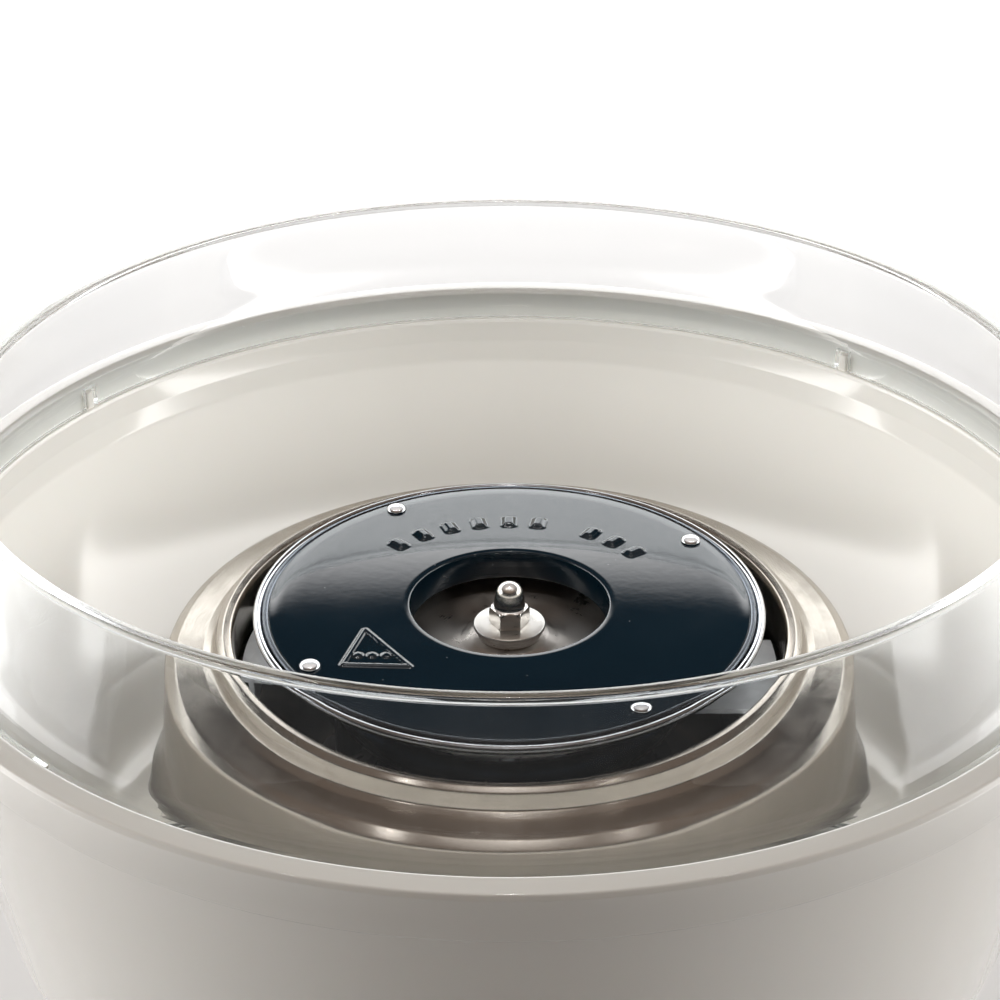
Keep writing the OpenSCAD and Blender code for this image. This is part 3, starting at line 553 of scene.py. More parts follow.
def clear():
    """Clear moulded plastic that lets light through to what it covers."""
    look = new_look("clear_plastic")
    here = look.position()
    # the front half is tinted grey, painted shade on what is seen through it
    front_half = look.remap(look.xyz(here)[1], over=(-0.05, 0.0), to=(1.0, 0.0))
    streak = look.noise(look.position(scale=(1, 1, 0.12)), scale=160, detail=6, rough=0.7)
    # the front's inner face is wavier than its outer one, which bends what lies behind it
    geometry = look.add("NewGeometry").outputs
    level = look.add("VectorMath", {0: geometry["True Normal"], 1: (1, 1, 0)},
                     operation="MULTIPLY").outputs[0]
    outward = look.add("VectorMath", {0: geometry["Position"], 1: level},
                       operation="DOT_PRODUCT").outputs["Value"]
    inside = look.times(look.math("LESS_THAN", outward, 0.0), front_half)
    ripple = look.times(look.noise(here, scale=55, detail=2, rough=0.5), inside)
    wobble = look.bump(look.noise(here, scale=22, detail=2, rough=0.5),
                       strength=0.12, distance=0.0012)
    look.surface({
        "Base Color": look.mix(front_half, (0.97, 0.98, 0.986), (0.80, 0.815, 0.822)),
        "IOR": 1.49,
        "Transmission Weight": 1.0,
        "Roughness": look.remap(streak, over=(0.35, 0.8), to=(0.008, 0.05)),
        "Normal": look.bump(ripple, strength=0.45, distance=0.0012, under=wobble),
    })
    # a trace of milkiness, so that edges read pale grey and not black
    milk_colour = {"Color": (0.86, 0.88, 0.91)}
    milk = look.mix_shaders(0.5, look.add("BsdfTranslucent", milk_colour).outputs[0],
                            look.add("BsdfDiffuse", milk_colour).outputs[0])
    body = look.mix_shaders(look.remap(streak, over=MIDDLE_STREAK, to=(0.003, 0.012)),
                            look.main.outputs[0], milk)
    # shadow and diffuse rays pass straight through, and mirrored ones mostly do
    rays = look.rays()
    window = look.add("BsdfTransparent", {"Color": (0.95, 0.965, 0.97)}).outputs[0]
    soft = look.math("MAXIMUM", rays["Is Shadow Ray"], rays["Is Diffuse Ray"])
    mirrored = look.times(rays["Is Glossy Ray"],
                          look.math("SUBTRACT", 1.0, rays["Is Transmission Ray"]))
    passing = look.math("MAXIMUM", soft, look.times(mirrored, 0.8))
    look.feed(look.tree.nodes["Material Output"],
              {"Surface": look.mix_shaders(passing, body, window)})
    return look.owner


MIDDLE_STREAK = (0.3, 0.8)


def wire():
    """Wire insulation: red and blue lengths, split by a broad noise."""
    look = new_look("wire_insulation")
    split = look.noise(look.position(scale=(1, 1, 0.4)), scale=30, detail=1, rough=0.3)
    smear = look.noise(look.position(), scale=200, detail=4, rough=0.6)
    look.surface({
        "Base Color": look.mix(look.ramp(split, [(0.0, 0.0), (0.49, 0.0), (0.5, 1.0)]),
                               linear((150, 30, 28)), linear((42, 60, 130))),
        "Roughness": look.remap(smear, over=MIDDLE, to=(0.28, 0.45)),
    })
    return look.owner


LOOKS = {
    "bowl": plastic("ivory_gloss", (239, 236, 229), rough=0.1, tint=0.02, coat=0.6, sss=0.04),
    "housing": plastic("white_satin", (237, 234, 227), rough=0.22, tint=0.02, grain=0.02,
                       grain_scale=2600, coat=0.15),
    "black_plastic": plastic("black_plastic", (30, 30, 32), rough=0.42, tint=0.2, grain=0.35,
                             grain_scale=1500),
    "natural": plastic("natural_nylon", (222, 217, 204), rough=0.4, tint=0.05, grain=0.1,
                       sss=0.1),
    "cord": rubber("cord_jacket", (216, 213, 205), rough=0.42, grain=0.12),
    "plug": plastic("plug_body", (218, 215, 207), rough=0.36, tint=0.04, grain=0.14,
                    grain_scale=1300),
    "red": plastic("rocker_red", (150, 14, 16), rough=0.18, tint=0.12, coat=0.5),
    "board": plastic("board_green", (28, 84, 46), rough=0.34, tint=0.25, coat=0.4),
    "rubber": rubber("black_rubber", (34, 34, 36), rough=0.62),
    # painted shade on the collar's lower part, below 152 mm
    "stainless": metal("spun_stainless", (194, 186, 176), rough=0.19, aniso=0.82, ring=0.01,
                       ring_scale=300, tarnish=0.05, scratch=0, painted_shade_below=0.152,
                       # painted light on the collar's far side, seen in reflections
                       painted_rear_light=4.6),
    "zinc": metal("zinc_screw", (196, 198, 202), rough=0.28, tarnish=0.1, scratch=0.3),
    "galv": metal("galvanised", (232, 235, 237), rough=0.4, spangle=260, tarnish=0.08,
                  scratch=0.2, metallic=0.35),
    "alu": metal("spun_aluminium", (214, 214, 216), rough=0.2, aniso=0.6, ring=0.05,
                 ring_scale=700, scratch=0.08),
    "pan": metal("pan_floor", (210, 204, 198), rough=0.31, aniso=0.92, ring=0.01,
                 ring_scale=500, tarnish=0.04, scratch=0),
    # painted shade on the bead's front faces
    "bead": metal("bead_bright", (222, 223, 226), rough=0.12, tarnish=0.03, scratch=0.04,
                  painted_front_shade=0.85),
    # painted highlight on the rivet heads' upward faces
    "rivet": metal("rivet_bright", (228, 228, 230), rough=0.16, tarnish=0.03, scratch=0.04,
                   painted_top_light=0.5),
    # the seat's dark grey is painted shade, so that it reads mid grey between bright rings
    "seat": metal("cover_seat", (112, 117, 124), rough=0.2, tarnish=0.05, scratch=0.06,
                  # painted shade on the seat's front faces
                  painted_front_shade=0.9),
    # painted highlight on the nut's upward faces
    "nickel": metal("bright_nickel", (232, 227, 221), rough=0.19, tarnish=0.05, scratch=0.05,
                    painted_top_light=0.24),
    "washer": metal("plated_washer", (236, 233, 228), rough=0.29, aniso=0.2, ring=0.03,
                    ring_scale=800, tarnish=0.05, scratch=0.08),
    "ground": metal("ground_steel", (205, 205, 208), rough=0.2, ring=0.1, tarnish=0.04),
    "core": metal("stacked_steel", (120, 122, 128), rough=0.35, tarnish=0.15, scratch=0.3),
    "brass": metal("turned_brass", (204, 172, 108), rough=0.2, ring=0.15, tarnish=0.1),
    "bronze": metal("sintered_bronze", (182, 138, 84), rough=0.4, tarnish=0.15, scratch=0.2),
    "copper": metal("copper", (190, 112, 72), rough=0.26, tarnish=0.15, scratch=0.25),
    "heater": metal("heat_tinted", (20, 30, 42), rough=0.34, tarnish=0.3, scratch=0.2),
    "steatite": plastic("steatite", (74, 70, 66), rough=0.3, tint=0.1, coat=0.2),
    "ceramic": plastic("white_ceramic", (232, 230, 222), rough=0.22, tint=0.04, coat=0.4),
    "ferrite": rubber("ferrite", (52, 52, 56), rough=0.7, grain=0.4),
    "carbon": rubber("carbon", (36, 36, 38), rough=0.55, grain=0.3),
    "enamel": enamel(),
    "clear": clear(),
    "wire": wire(),
}


def paint(ob, look):
    ob.data.materials.clear()
    ob.data.materials.append(LOOKS[look])


def piece(ob, body, look, slot, *nodes):
    """Paints a finished piece, fixes it to a moving body and retires the CAD nodes it replaces."""
    paint(ob, look)
    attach(ob, body)
    if nodes:
        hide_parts(*nodes)


# ------------------------------------------------------------------ collecting bowl
BOWL_HOLE_R = 89.52
KEYWAY_R = 92.4                # the floor's hole is cut back to this at each key
KEYWAYS = [(math.radians(a), math.radians(2.05)) for a in KEY_ANGLES]   # (centre, half width)


def bowl_shell():
    outer = catmull([(98.5, 102.0), (102, 102.55), (106.4, 104.7), (110.6, 108.5), (114, 114),
                     (116.6, 120.6), (118, 125), (119.5, 130.6)], 5)
    inner = catmull([(116.8, 131.2), (115.3, 125.6), (114, 121.4), (111.5, 115.2),
                     (108.5, 110.6), (105, 107.4), (101, 105.3), (97.5, 104.75)], 5)
    # up the outer wall, over the rim and back down past the ledge
    rim = bridge([outer[-1], (131.25, 199.35, 1.2), (133.2, 199.55, 0.55), (134.65, 209.6, 0.5),
                  (134.1, 210.66, 0.7), (129.2, 210.68, 0.9), (128.22, 209.6, 0.5),
                  (128.2, LEDGE_Z, 0.25), (125.2, LEDGE_Z, 0.5), (124.85, 202.1, 0.5),
                  (125.9, 196.2, 3), (126.5, 190.0, 6), inner[0]])
    # across the floor to the upstand round its hole
    floor = bridge([inner[-1], (92.2, 104.7, 1.6), (91.3, 108.9, 0.7), (89.55, 109.0, 0.5),
                    (BOWL_HOLE_R, 104.32)])
    profile = [(BOWL_HOLE_R, 102.0), (97.2, 102.0)] + outer + rim + inner + floor
    profile += [(BOWL_HOLE_R, 104.32), (BOWL_HOLE_R, 104.26)]

    def cut_keyways(angle, points):
        if not in_span(angle, KEYWAYS):
            return points
        return [(KEYWAY_R, points[0][1])] + points[1:-1] + [(KEYWAY_R, points[-1][1])]

    return lathe("bowl_shell", profile, vary=cut_keyways, angles=stepped(288, KEYWAYS),
                 crease=40)


def bowl_tabs():
    """Small upright tabs on the ledge, that the clear guard's notches drop over."""
    tabs = []
    for a in TAB_ANGLES:
        tab = block((125.9, -1.15, LEDGE_Z - 0.4), (128.5, 1.15, LEDGE_Z + 4.3), 0.35, 3)
        tabs.append(place(tab, turn(a)))
    return join("bowl_tabs", tabs)


piece(bowl_shell(), "bowl", "bowl", "bowl_plastic", "bowl")
piece(bowl_tabs(), "bowl", "bowl", "bowl_plastic")

# ------------------------------------------------------------------ clear splash guard
GUARD_FOOT_Z = LEDGE_Z + 0.06
NOTCH_TOP_Z = LEDGE_Z + 5.6
NOTCHES = [(a, 2.0 / 127.0) for a in TAB_ANGLES]   # (centre, half width)


def splash_guard():
    outer = catmull([(127.62, 210.4), (127.1, 212.4), (126.0, 216.4), (124.1, 222.2),
                     (121.9, 229.2), (119.6, 236.4), (118.75, 238.9)])
    inner = catmull([(116.7, 238.3), (117.55, 235.9), (119.9, 228.6), (122.1, 221.8),
                     (124.0, 216.0), (125.05, 212.2), (125.45, 210.2)])
    lip = bridge([outer[-1], (118.98, 239.2, 0.6), (118.8, 240.24, 0.75), (116.3, 240.24, 0.75),
                  (116.1, 238.9, 0.6), inner[0]], seg=5)
    skirt = bridge([inner[-1], (125.62, 209.0, 0.5), (125.62, GUARD_FOOT_Z, 0.3),
                    (127.88, GUARD_FOOT_Z, 0.3), (127.88, 209.0, 0.6), outer[0]], seg=3)

    def cut_notches(angle, points):
        if not in_span(angle, NOTCHES):
            return points
        # a slight slope keeps the notch's nearly flat top free of doubled points
        return [(r, z if z > NOTCH_TOP_Z + 0.1 else NOTCH_TOP_Z + (z - GUARD_FOOT_Z) * 0.004)
                for r, z in points]

    return lathe("splash_guard_clear", outer + lip + inner + skirt, vary=cut_notches,
                 angles=stepped(360, NOTCHES, 0.0004), crease=60)


piece(splash_guard(), "guard", "clear", "clear_plastic", "splash_guard")

# ------------------------------------------------------------------ stainless collar
# (r, height from HEAD_Z, corner radius): down the outer face, then up the inner one
COLLAR = [
    (62.6, -15.9, 0.2), (62.6, -5.6, 0.7), (63.1, -4.3, 0.7), (64.9, -4.1, 0.9),
    (66.3, -4.9, 0.9), (66.9, -6.6, 0.8), (67.5, -8.6, 0.9), (69.6, -9.2, 1.2),
    (75.9, -9.75, 1.6), (78.5, -11.3, 1.6), (79.1, -19.7, 3), (80.05, -33.0, 2.2),
    (82.0, -37.1, 3), (83.9, -41.0, 3), (84.9, -45.4, 3), (85.3, -50, 5), (86.1, -79, 3),
    (86.6, -84.4, 1.2), (88.6, -85.0, 0.3), (88.6, -86.0, 0.3), (76.0, -86.0, 0.3),
    (76.0, -85.0, 0.3), (84.4, -85.0, 0.6), (85.0, -78, 3), (84.2, -50, 5),
    (83.85, -45.5, 3), (82.9, -41.4, 3), (81.1, -37.6, 3), (79.05, -33.2, 2),
    (78.1, -19.8, 3), (77.6, -12.0, 1.2), (75.6, -10.8, 1.2), (69.3, -10.25, 1.0),
    (66.7, -9.4, 0.7), (65.95, -6.9, 0.6), (65.3, -5.4, 0.5), (63.6, -5.2, 0.4),
    (63.55, -15.9, 0.2),
]
collar = lathe("heat_collar_shell", rounded(lift(COLLAR)), 288, crease=50)
piece(collar, "base", "stainless", "stainless", "heat_collar")

# ------------------------------------------------------------------ spinning head: cover plate
# stamped marks, in the plate's plane
BAR_ANGLES = [math.radians(a)
              for a in (135.4, 124.1, 112.8, 101.5, 90.2, 79.1, 58.0, 47.6, 37.2)]
BAR_RING_R = 36.9
BAR_LENGTH, BAR_WIDTH = 3.0, 1.3       # along the radius, and across it
BAR_HEIGHT, BAR_SOFT = 0.8, 1.35
TRIANGLE = [(-32.0, -12.6), (-36.0, -27.0), (-21.6, -27.6)]
LINE_HEIGHT, LINE_HALF, LINE_SOFT = 0.48, 0.28, 0.5
DOT_X, DOT_Y, DOT_PITCH = -29.9, -23.2, 3.1    # middle dot of three
DOT_HEIGHT, DOT_R, DOT_SOFT = 0.42, 0.75, 0.55


def fade(distance, flat, soft):
    """1 up to the distance flat, falling smoothly to 0 over soft."""
    t = min(max(1 - (distance - flat) / soft, 0), 1)
    return t * t * (3 - 2 * t)


def line_distance(x, y, start, end):
    (x0, y0), (x1, y1) = start, end
    t = ((x - x0) * (x1 - x0) + (y - y0) * (y1 - y0)) / ((x1 - x0) ** 2 + (y1 - y0) ** 2)
    t = max(0, min(1, t))
    return math.hypot(x - x0 - t * (x1 - x0), y - y0 - t * (y1 - y0))


def emboss(x, y):
    """Height of the stamped marks: bars in an arc, and a triangle round three dots."""
    radius = math.hypot(x, y)
    around = math.atan2(y, x)
    heights = []
    for a in BAR_ANGLES:
        past_end = max(abs(radius - BAR_RING_R) - BAR_LENGTH / 2, 0.0)
        past_side = max(abs(wrap(around - a) * radius) - BAR_WIDTH / 2, 0.0)
        heights.append(BAR_HEIGHT * fade(math.hypot(past_end, past_side), 0.0, BAR_SOFT))
    nearest = min(line_distance(x, y, TRIANGLE[i - 1], TRIANGLE[i]) for i in range(3))
    heights.append(LINE_HEIGHT * fade(nearest, LINE_HALF, LINE_SOFT))
    for k in (-1, 0, 1):
        distance = math.hypot(x - DOT_X - DOT_PITCH * k, y - DOT_Y)
        heights.append(DOT_HEIGHT * fade(distance, DOT_R, DOT_SOFT))
    return max(heights)


def cover_plate():
    top = catmull([(54.3, -0.05), (52.4, 0.06), (50, 0.1), (45, 0.11), (41, 0.11), (37, 0.11),
                   (33.5, 0.11), (30.5, 0.11), (28.2, 0.11), (26.2, 0.11), (24.2, 0.11)], 8)
    top += rounded([top[-1], (22.6, 0.1, 0.5), (22.42, -6.0)], seg=10)[1:]
    # finer rings where the marks are
    fine = []
    for (r0, z0), (r1, z1) in zip(top, top[1:]):
        parts = max(1, math.ceil(abs(r1 - r0) / 0.34)) if r1 > 24 and r0 < 47 else 1
        for k in range(parts):
            t = k / parts
            fine.append((r0 + (r1 - r0) * t, z0 + (z1 - z0) * t))
    fine.append(top[-1])
    lip = rounded([top[-1], (22.4, -6.9, 0.35), (23.25, -6.9, 0.35), (23.6, -2.4, 1.2),
                   (26.4, -1.2, 1.0), top[-1]], seg=3)[1:-1]
    # the last corner of the lip is square, where the underside begins
    lip = lip[:-4] + [(26.4, -1.2)]
    under = catmull([(26.4, -1.2), (28.6, -1.1), (31, -1.04), (37, -1.02), (45, -1.0),
                     (47.5, -1.2), (53.6, -1.24)], 3)[1:]
    edge = bridge([under[-1], (54.35, -1.24, 0.5), (54.45, -0.05, 0.4), top[0]])
    # closer angles where the marks are
    angles = []
    a = 0.0
    while a < 2 * PI - 1e-6:
        angles.append(a)
        marked = 32 < math.degrees(a) < 141 or 198 < math.degrees(a) < 239
        a += math.radians(0.45 if marked else 1.5)

    def stamp(angle, points):
        marked = [(r, z + emboss(r * math.cos(angle), r * math.sin(angle)))
                  for r, z in points[:len(fine)]]
        return marked + points[len(fine):]

    return lathe("cover_plate_stamped", lift(fine + lip + under + edge), vary=stamp,
                 angles=angles, crease=60)


piece(cover_plate(), "head", "enamel", "black_enamel", "cover_plate")


# ------------------------------------------------------------------ spinning head: pan and hub
def sugar_pan():
    """A flat hub seat, a shallow dish, a raised wall and a rolled bead."""
    upper = lift([(2.55, -8.62), (9.0, -8.62, 0.8), (11.2, -9.35, 2.0), (24, -11.3, 6),
                  (39.6, -12.1, 2.5), (43.2, -11.0, 1.6), (47.0, -3.3, 1.4),
                  (48.9, -1.85, 0.9), (55.7, -1.75)])
    lower = lift([(55.8, -2.85), (49.2, -2.9, 0.9), (48.1, -3.8, 1.4), (44.2, -12.0, 1.8),
                  (40.2, -13.3, 2.5), (24, -12.45, 6), (11.2, -10.5, 2), (8.8, -9.78, 0.5),
                  (2.55, -9.78)])
    bead = []
    for k in range(15):
        t = PI * 0.86 - k * PI * 1.72 / 14
        bead.append((57.05 + 0.98 * math.cos(t), HEAD_Z - 1.0 + 0.98 * math.sin(t)))
    pan = lathe("sugar_pan_dish", rounded(upper) + bead + rounded(lower), 288, crease=50)
    paint(pan, "alu")
    pan.data.materials.append(LOOKS["pan"])
    pan.data.materials.append(LOOKS["bead"])
    for face in pan.data.polygons:
        radius = math.hypot(face.center.x, face.center.y) * 1000
        height = face.center.z * 1000 - HEAD_Z
        if radius < 47 and height < -3:
            face.material_index = 1
        elif radius > 55.6:
            face.material_index = 2
    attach(pan, "head")
    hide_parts("sugar_pan")


def cover_seat():
    """The turned edge of the cover's seat, a second ring just inside the bead."""
    profile = lift([(54.5, -1.2, 0.2), (54.5, -0.15, 0.35), (54.9, 0.12, 0.25),
                    (55.5, 0.1, 0.25), (55.9, -0.3, 0.3), (55.9, -1.2, 0.2)])
    return lathe("cover_edge_ring", rounded(profile), 288, crease=50)


def cover_rivets():
    """Four rivets with a low domed head."""
    profile = lift([(0, -3.62), (1.7, -3.58, 0.5), (2.2, -3.2, 0.3), (2.2, -2.93, 0.1),
                    (1.38, -2.92, 0.1), (1.38, 0.2, 0.1), (2.28, 0.22, 0.12), (2.3, 0.5, 0.3),
                    (1.9, 0.95, 0.8), (1.0, 1.24, 1.2), (0, 1.3)])
    rivets = []
    for k in range(4):
        rivet = lathe("rivet", rounded(profile, seg=3), 40, crease=55)
        rivets.append(place(rivet, turn(math.radians(32.6 + 90 * k)) @ shift(51.2, 0, 0)))
    return join("cover_rivets_set", rivets, 55)


def hub_washers():
    washers = []
    # (bottom, top, radius), widening upwards
    for low, high, r in ((-8.56, -7.6, 7.3), (-7.56, -6.6, 7.7), (-6.56, -5.46, 8.2)):
        profile = lift([(2.62, low, 0.15), (r, low, 0.3), (r, high, 0.3), (2.62, high, 0.15)])
        washers.append(lathe("washer", rounded(profile, seg=3), 96, crease=50))
    return join("hub_washers_stack", washers, 50)


def cap_nut():
    """A hexagon with chamfered corners, a waist and a dome, as one closed shell.

    The hexagon's flats come from clipping the radius."""
    flats = 8.0
    hex_turn = math.radians(33)
    dome_z, dome_r, dome_rise = 2.1, 3.08, 2.72
    angles = even(120, math.radians(3))
    bm = bmesh.new()

    def ring(z, radii):
        return [bm.verts.new((r * math.cos(a) * MM, r * math.sin(a) * MM, (z + HEAD_Z) * MM))
                for r, a in zip(radii, angles)]

    def round_ring(z, radius):
        return ring(z, [radius] * len(angles))

    rings = []
    for z, limit in ((-5.42, 4.28), (-5.0, 4.62), (-4.7, 4.7), (-2.0, 4.7), (-1.75, 4.62),
                     (-1.3, 4.2)):
        rings.append(ring(z, [
            min(limit, flats / 2 / math.cos((a - hex_turn + PI / 6) % (PI / 3) - PI / 6))
            for a in angles]))
    for z, radius in ((-1.12, 3.86), (-0.98, 3.62), (-0.6, 3.52), (0.0, 3.46), (0.7, 3.4),
                      (1.5, 3.26), (dome_z, 3.12)):
        rings.append(round_ring(z, radius))
    for k in range(1, 12):
        t = k / 12 * PI / 2
        rings.append(round_ring(dome_z + dome_rise * math.sin(t), dome_r * math.cos(t)))
    tip = bm.verts.new((0, 0, (HEAD_Z + dome_z + dome_rise) * MM))
    skin(bm, rings)
    last = rings[-1]
    for k in range(len(angles)):
        bm.faces.new((last[k], last[(k + 1) % len(angles)], tip))
    # open thread mouth below
    bore = [round_ring(z, radius) for z, radius in ((-5.42, 2.7), (-5.2, 2.53), (1.4, 2.53))]
    skin(bm, [*reversed(bore), rings[0]])
    bm.faces.new(bore[-1])
    return finish_mesh(bm, "cap_nut", crease=32)


sugar_pan()
piece(cover_seat(), "head", "seat", "aluminium_sheet")
piece(cover_rivets(), "head", "rivet", "aluminium_sheet", "cover_rivets")
piece(hub_washers(), "head", "washer", "bright_nickel", "hub_washers")
piece(cap_nut(), "head", "nickel", "bright_nickel", "dome_nut")

# ------------------------------------------------------------------ base housing
# Z of a turned form becomes the switch's axis, running inwards from the front
SWITCH = (shift(0, -95.4, 42.0) @ turn(math.radians(-16.7), "X")) @ turn(-PI / 2, "X")
# Z of a turned form becomes +Y, at the cord's height
CORD_EXIT = shift(0, 0, CORD_Z) @ turn(-PI / 2, "X")
POST_ANGLES, POST_RING_R = (20, 160, 200, 340), 86     # long posts under the waist
BOSS_ANGLES, BOSS_RING_R = (30, 150, 270), 68          # bosses under the top
SMALL_BOSS_TURN, SMALL_BOSS_RING_R = 60, 80            # smaller ones between them


def post(degrees, ring_r, bottom, top, radius, sides=48):
    """An upright cylinder, placed by its angle and distance from the spin axis."""
    ob = lathe("post", [(0, bottom), (radius, bottom), (radius, top), (0, top)], sides,
               crease=40)
    a = math.radians(degrees)
    return place(ob, shift(ring_r * math.cos(a), ring_r * math.sin(a), 0))


def housing_additions():
    obs = [post(a, POST_RING_R, 12, 70, 3.8) for a in POST_ANGLES]
    for a in BOSS_ANGLES:
        obs.append(post(a, BOSS_RING_R, 86, 101, 5))
        obs.append(post(a + SMALL_BOSS_TURN, SMALL_BOSS_RING_R, 92, 101, 3.6))
    for a in KEY_ANGLES:
        key = block((89.9, -3, 101.2), (92.0, 3, 104.0), 0.3, 2)
        obs.append(place(key, turn(math.radians(a))))
    # round pads for the switch and for the cord, with a soft edge
    pad = rounded([(0, 5), (16.4, 5), (17.0, -1.0, 0.2), (16.9, -2.2, 0.8), (0, -2.2)], seg=5)
    obs.append(place(lathe("pad", pad, 96, crease=40), SWITCH))
    pad = rounded([(0, 94), (10.5, 94), (10.5, 107, 0.8), (0, 107)])
    obs.append(place(lathe("pad", pad, 72), CORD_EXIT))
    return join("additions", obs)


def housing_cuts():
    hole = lathe("hole", [(0, -6), (10.1, -6), (10.1, 12), (0, 12)], 96, crease=40)
    obs = [place(hole, SWITCH)]
    hole = lathe("hole", [(0, 84), (6.05, 84), (6.05, 114), (0, 114)], 64)
    obs.append(place(hole, CORD_EXIT))
    obs += [post(a, POST_RING_R, 11, 35, 1.3, 24) for a in POST_ANGLES]
    for a in BOSS_ANGLES:
        obs.append(post(a, BOSS_RING_R, 80, 110, 1.95, 32))
        obs.append(post(a + SMALL_BOSS_TURN, SMALL_BOSS_RING_R, 88, 110, 1.52, 32))
    return join("cuts", obs)


def base_housing():
    """A smooth waisted shell with a flat top."""
    outer = catmull([(106.5, 15), (104.9, 19), (101.5, 26), (97.2, 36), (93.7, 48), (91.3, 60),
                     (90.1, 72), (90.05, 82), (91.2, 90), (93.6, 95.4), (96.2, 98.3)])
    inner = catmull([(90.2, 99.2), (88.6, 91.5), (87.45, 83.2), (87.5, 71.4), (88.7, 59.4),
                     (91, 47.6), (94.6, 35.4), (98.9, 25.2), (102.4, 18), (103.9, 14.2)], 5)
    foot = rounded([(103.9, 9), (105.3, 9, 0.6), (106.5, 10.4, 0.9), outer[0]])[:-1]
    top = bridge([outer[-1], (98.0, 100.3, 1.0), (98.0, 101.98, 0.45), (62.05, 101.98, 0.5),
                  (62.05, 99.5, 0.4), (90.2, 99.4, 0.5), inner[0]])
    shell = lathe("base_housing_shell", foot + outer + top + inner, 240, crease=35)
    boolean(shell, housing_additions(), "UNION")
    boolean(shell, housing_cuts(), "DIFFERENCE")
    # clear away the slivers that the cuts leave
    bm = bmesh.new()
    bm.from_mesh(shell.data)
    bmesh.ops.remove_doubles(bm, verts=bm.verts, dist=2e-6)
    bmesh.ops.dissolve_degenerate(bm, edges=bm.edges, dist=2e-6)
    bm.to_mesh(shell.data)
    bm.free()
    shade(shell.data, 32)
    return shell


piece(base_housing(), "base", "housing", "housing_plastic", "base_housing")


# ------------------------------------------------------------------ power cord
def cord_path():
    """Out of the base, down to the floor, then round the base with a slight wander."""
    pts = [(0, 100 + 1.5 * k, CORD_Z) for k in range(10)]
    quarter = [PI / 2 * k / 10 for k in range(1, 11)]
    pts += [(0, CORD_BEND_Y + CORD_BEND * math.sin(t), CORD_Z - CORD_BEND * (1 - math.cos(t)))
            for t in quarter]
    high, low = CORD_Z - CORD_BEND, CORD_R + CORD_BEND
    pts += [(0, CORD_RING_R, high + (low - high) * k / 3) for k in (1, 2, 3)]
    pts += [(-CORD_BEND * (1 - math.cos(t)), CORD_RING_R,
             CORD_R + CORD_BEND * (1 - math.sin(t))) for t in quarter]
    steps = 150
    sweep = math.radians(PLUG_ANGLE) - PI / 2
    for k in range(1, steps + 1):
        gone = sweep * k / steps
        swell = math.sin(PI * k / steps) ** 2
        wander = 0.9 * swell * math.sin(5 * gone) + 0.35 * swell * math.sin(13 * gone + 0.7)
        radius = CORD_RING_R + wander
        a = PI / 2 + gone
        pts.append((-CORD_BEND + radius * math.cos(a), radius * math.sin(a), CORD_R))
    return pts


cord = tube("power_cord_jacket", cord_path(), CORD_R, 28)
piece(cord, "base", "cord", "white_cord", "power_cord")

# ------------------------------------------------------------------ plug, along its local X axis
PLUG_POSE = (shift(-CORD_BEND, 0, 0) @ turn(math.radians(PLUG_ANGLE))
             @ shift(CORD_RING_R, 0, 0) @ turn(PI / 2))
# (x, half width, half height, power: 1 is an ellipse, less is squarer)
PLUG_STATIONS = [
    (8.6, 5.6, 5.6, 1.0), (10.5, 6.4, 6.2, 1.0), (13, 8.2, 6.4, 0.92), (16.5, 11.6, 6.5, 0.86),
    (20, 14.6, 6.52, 0.82), (24, 16.6, 6.55, 0.8), (29, 17.5, 6.55, 0.8),
    (33.2, 17.5, 6.55, 0.8), (34.6, 17.1, 6.2, 0.82), (35.0, 16.3, 5.5, 0.84),
]
GRIP_X = (19.5, 23.5, 27.5)    # shallow channels across the broad faces


def plug_body():
    stations = []
    for a, b in zip(PLUG_STATIONS, PLUG_STATIONS[1:]):
        for k in range(4):
            t = k / 4
            eased = t * t * (3 - 2 * t) * 0.3 + t * 0.7
            stations.append(tuple(a[i] + (b[i] - a[i]) * (eased if i else t) for i in range(4)))
    stations.append(PLUG_STATIONS[-1])
    bm = bmesh.new()
    rings = []
    for x, half_y, half_z, power in stations:
        ring = []
        for t in even(64):
            across, up = math.cos(t), math.sin(t)
            y = math.copysign(abs(across) ** power, across) * half_y
            z = math.copysign(abs(up) ** power, up) * half_z
            if 16 < x < 32 and abs(z) > 3:
                depth = sum(math.exp(-((x - grip) / 0.75) ** 2) for grip in GRIP_X)
                z -= math.copysign(0.5 * depth * max(0, 1 - (abs(y) / 12.0) ** 4), z)
            ring.append(bm.verts.new((x * MM, y * MM, (PLUG_Z + z) * MM)))
        rings.append(ring)
    capped_skin(bm, rings)
    return finish_mesh(bm, "body", crease=40)


def plug_boot():
    """Ribbed boot between the cord and the plug's body."""
    profile = [(-0.6, 3.3)]
    for k in range(5):
        x = 0.2 + 1.95 * k
        r = 4.6 + 0.16 * x
        profile += [(x, r), (x + 0.5, r + 0.15), (x + 1.15, r + 0.12), (x + 1.35, r - 0.75),
                    (x + 1.75, r - 0.75)]
    profile += [(9.2, 5.4), (9.2, 3.3)]
    boot = place(lathe_x(profile, 48, 30), shift(0, 0, PLUG_Z))
    # the cord lies lower than the plug's axis, so the boot's mouth dips towards it
    mouth_z, dip_length = 4.9, 7.5
    for v in boot.data.vertices:
        t = max(0.0, min(1.0, 1 - v.co.x / (dip_length * MM)))
        v.co.z -= (PLUG_Z - mouth_z) * MM * t * t
    return boot


def at_pins(profile, crease):
    """The same turned form on both pin axes, from a profile of (x, r)."""
    return [place(lathe_x(profile, 40, crease), shift(0, y, PLUG_Z)) for y in (-PIN_Y, PIN_Y)]


def plug():
    cuff = [(34.2, 2.02), (34.2, 2.9), (35.5, 2.9), (35.9, 2.5), (35.9, 2.02)]
    shells = [plug_body(), plug_boot()] + at_pins(cuff, 30)
    return place(join("power_plug_body", shells, 40), PLUG_POSE)


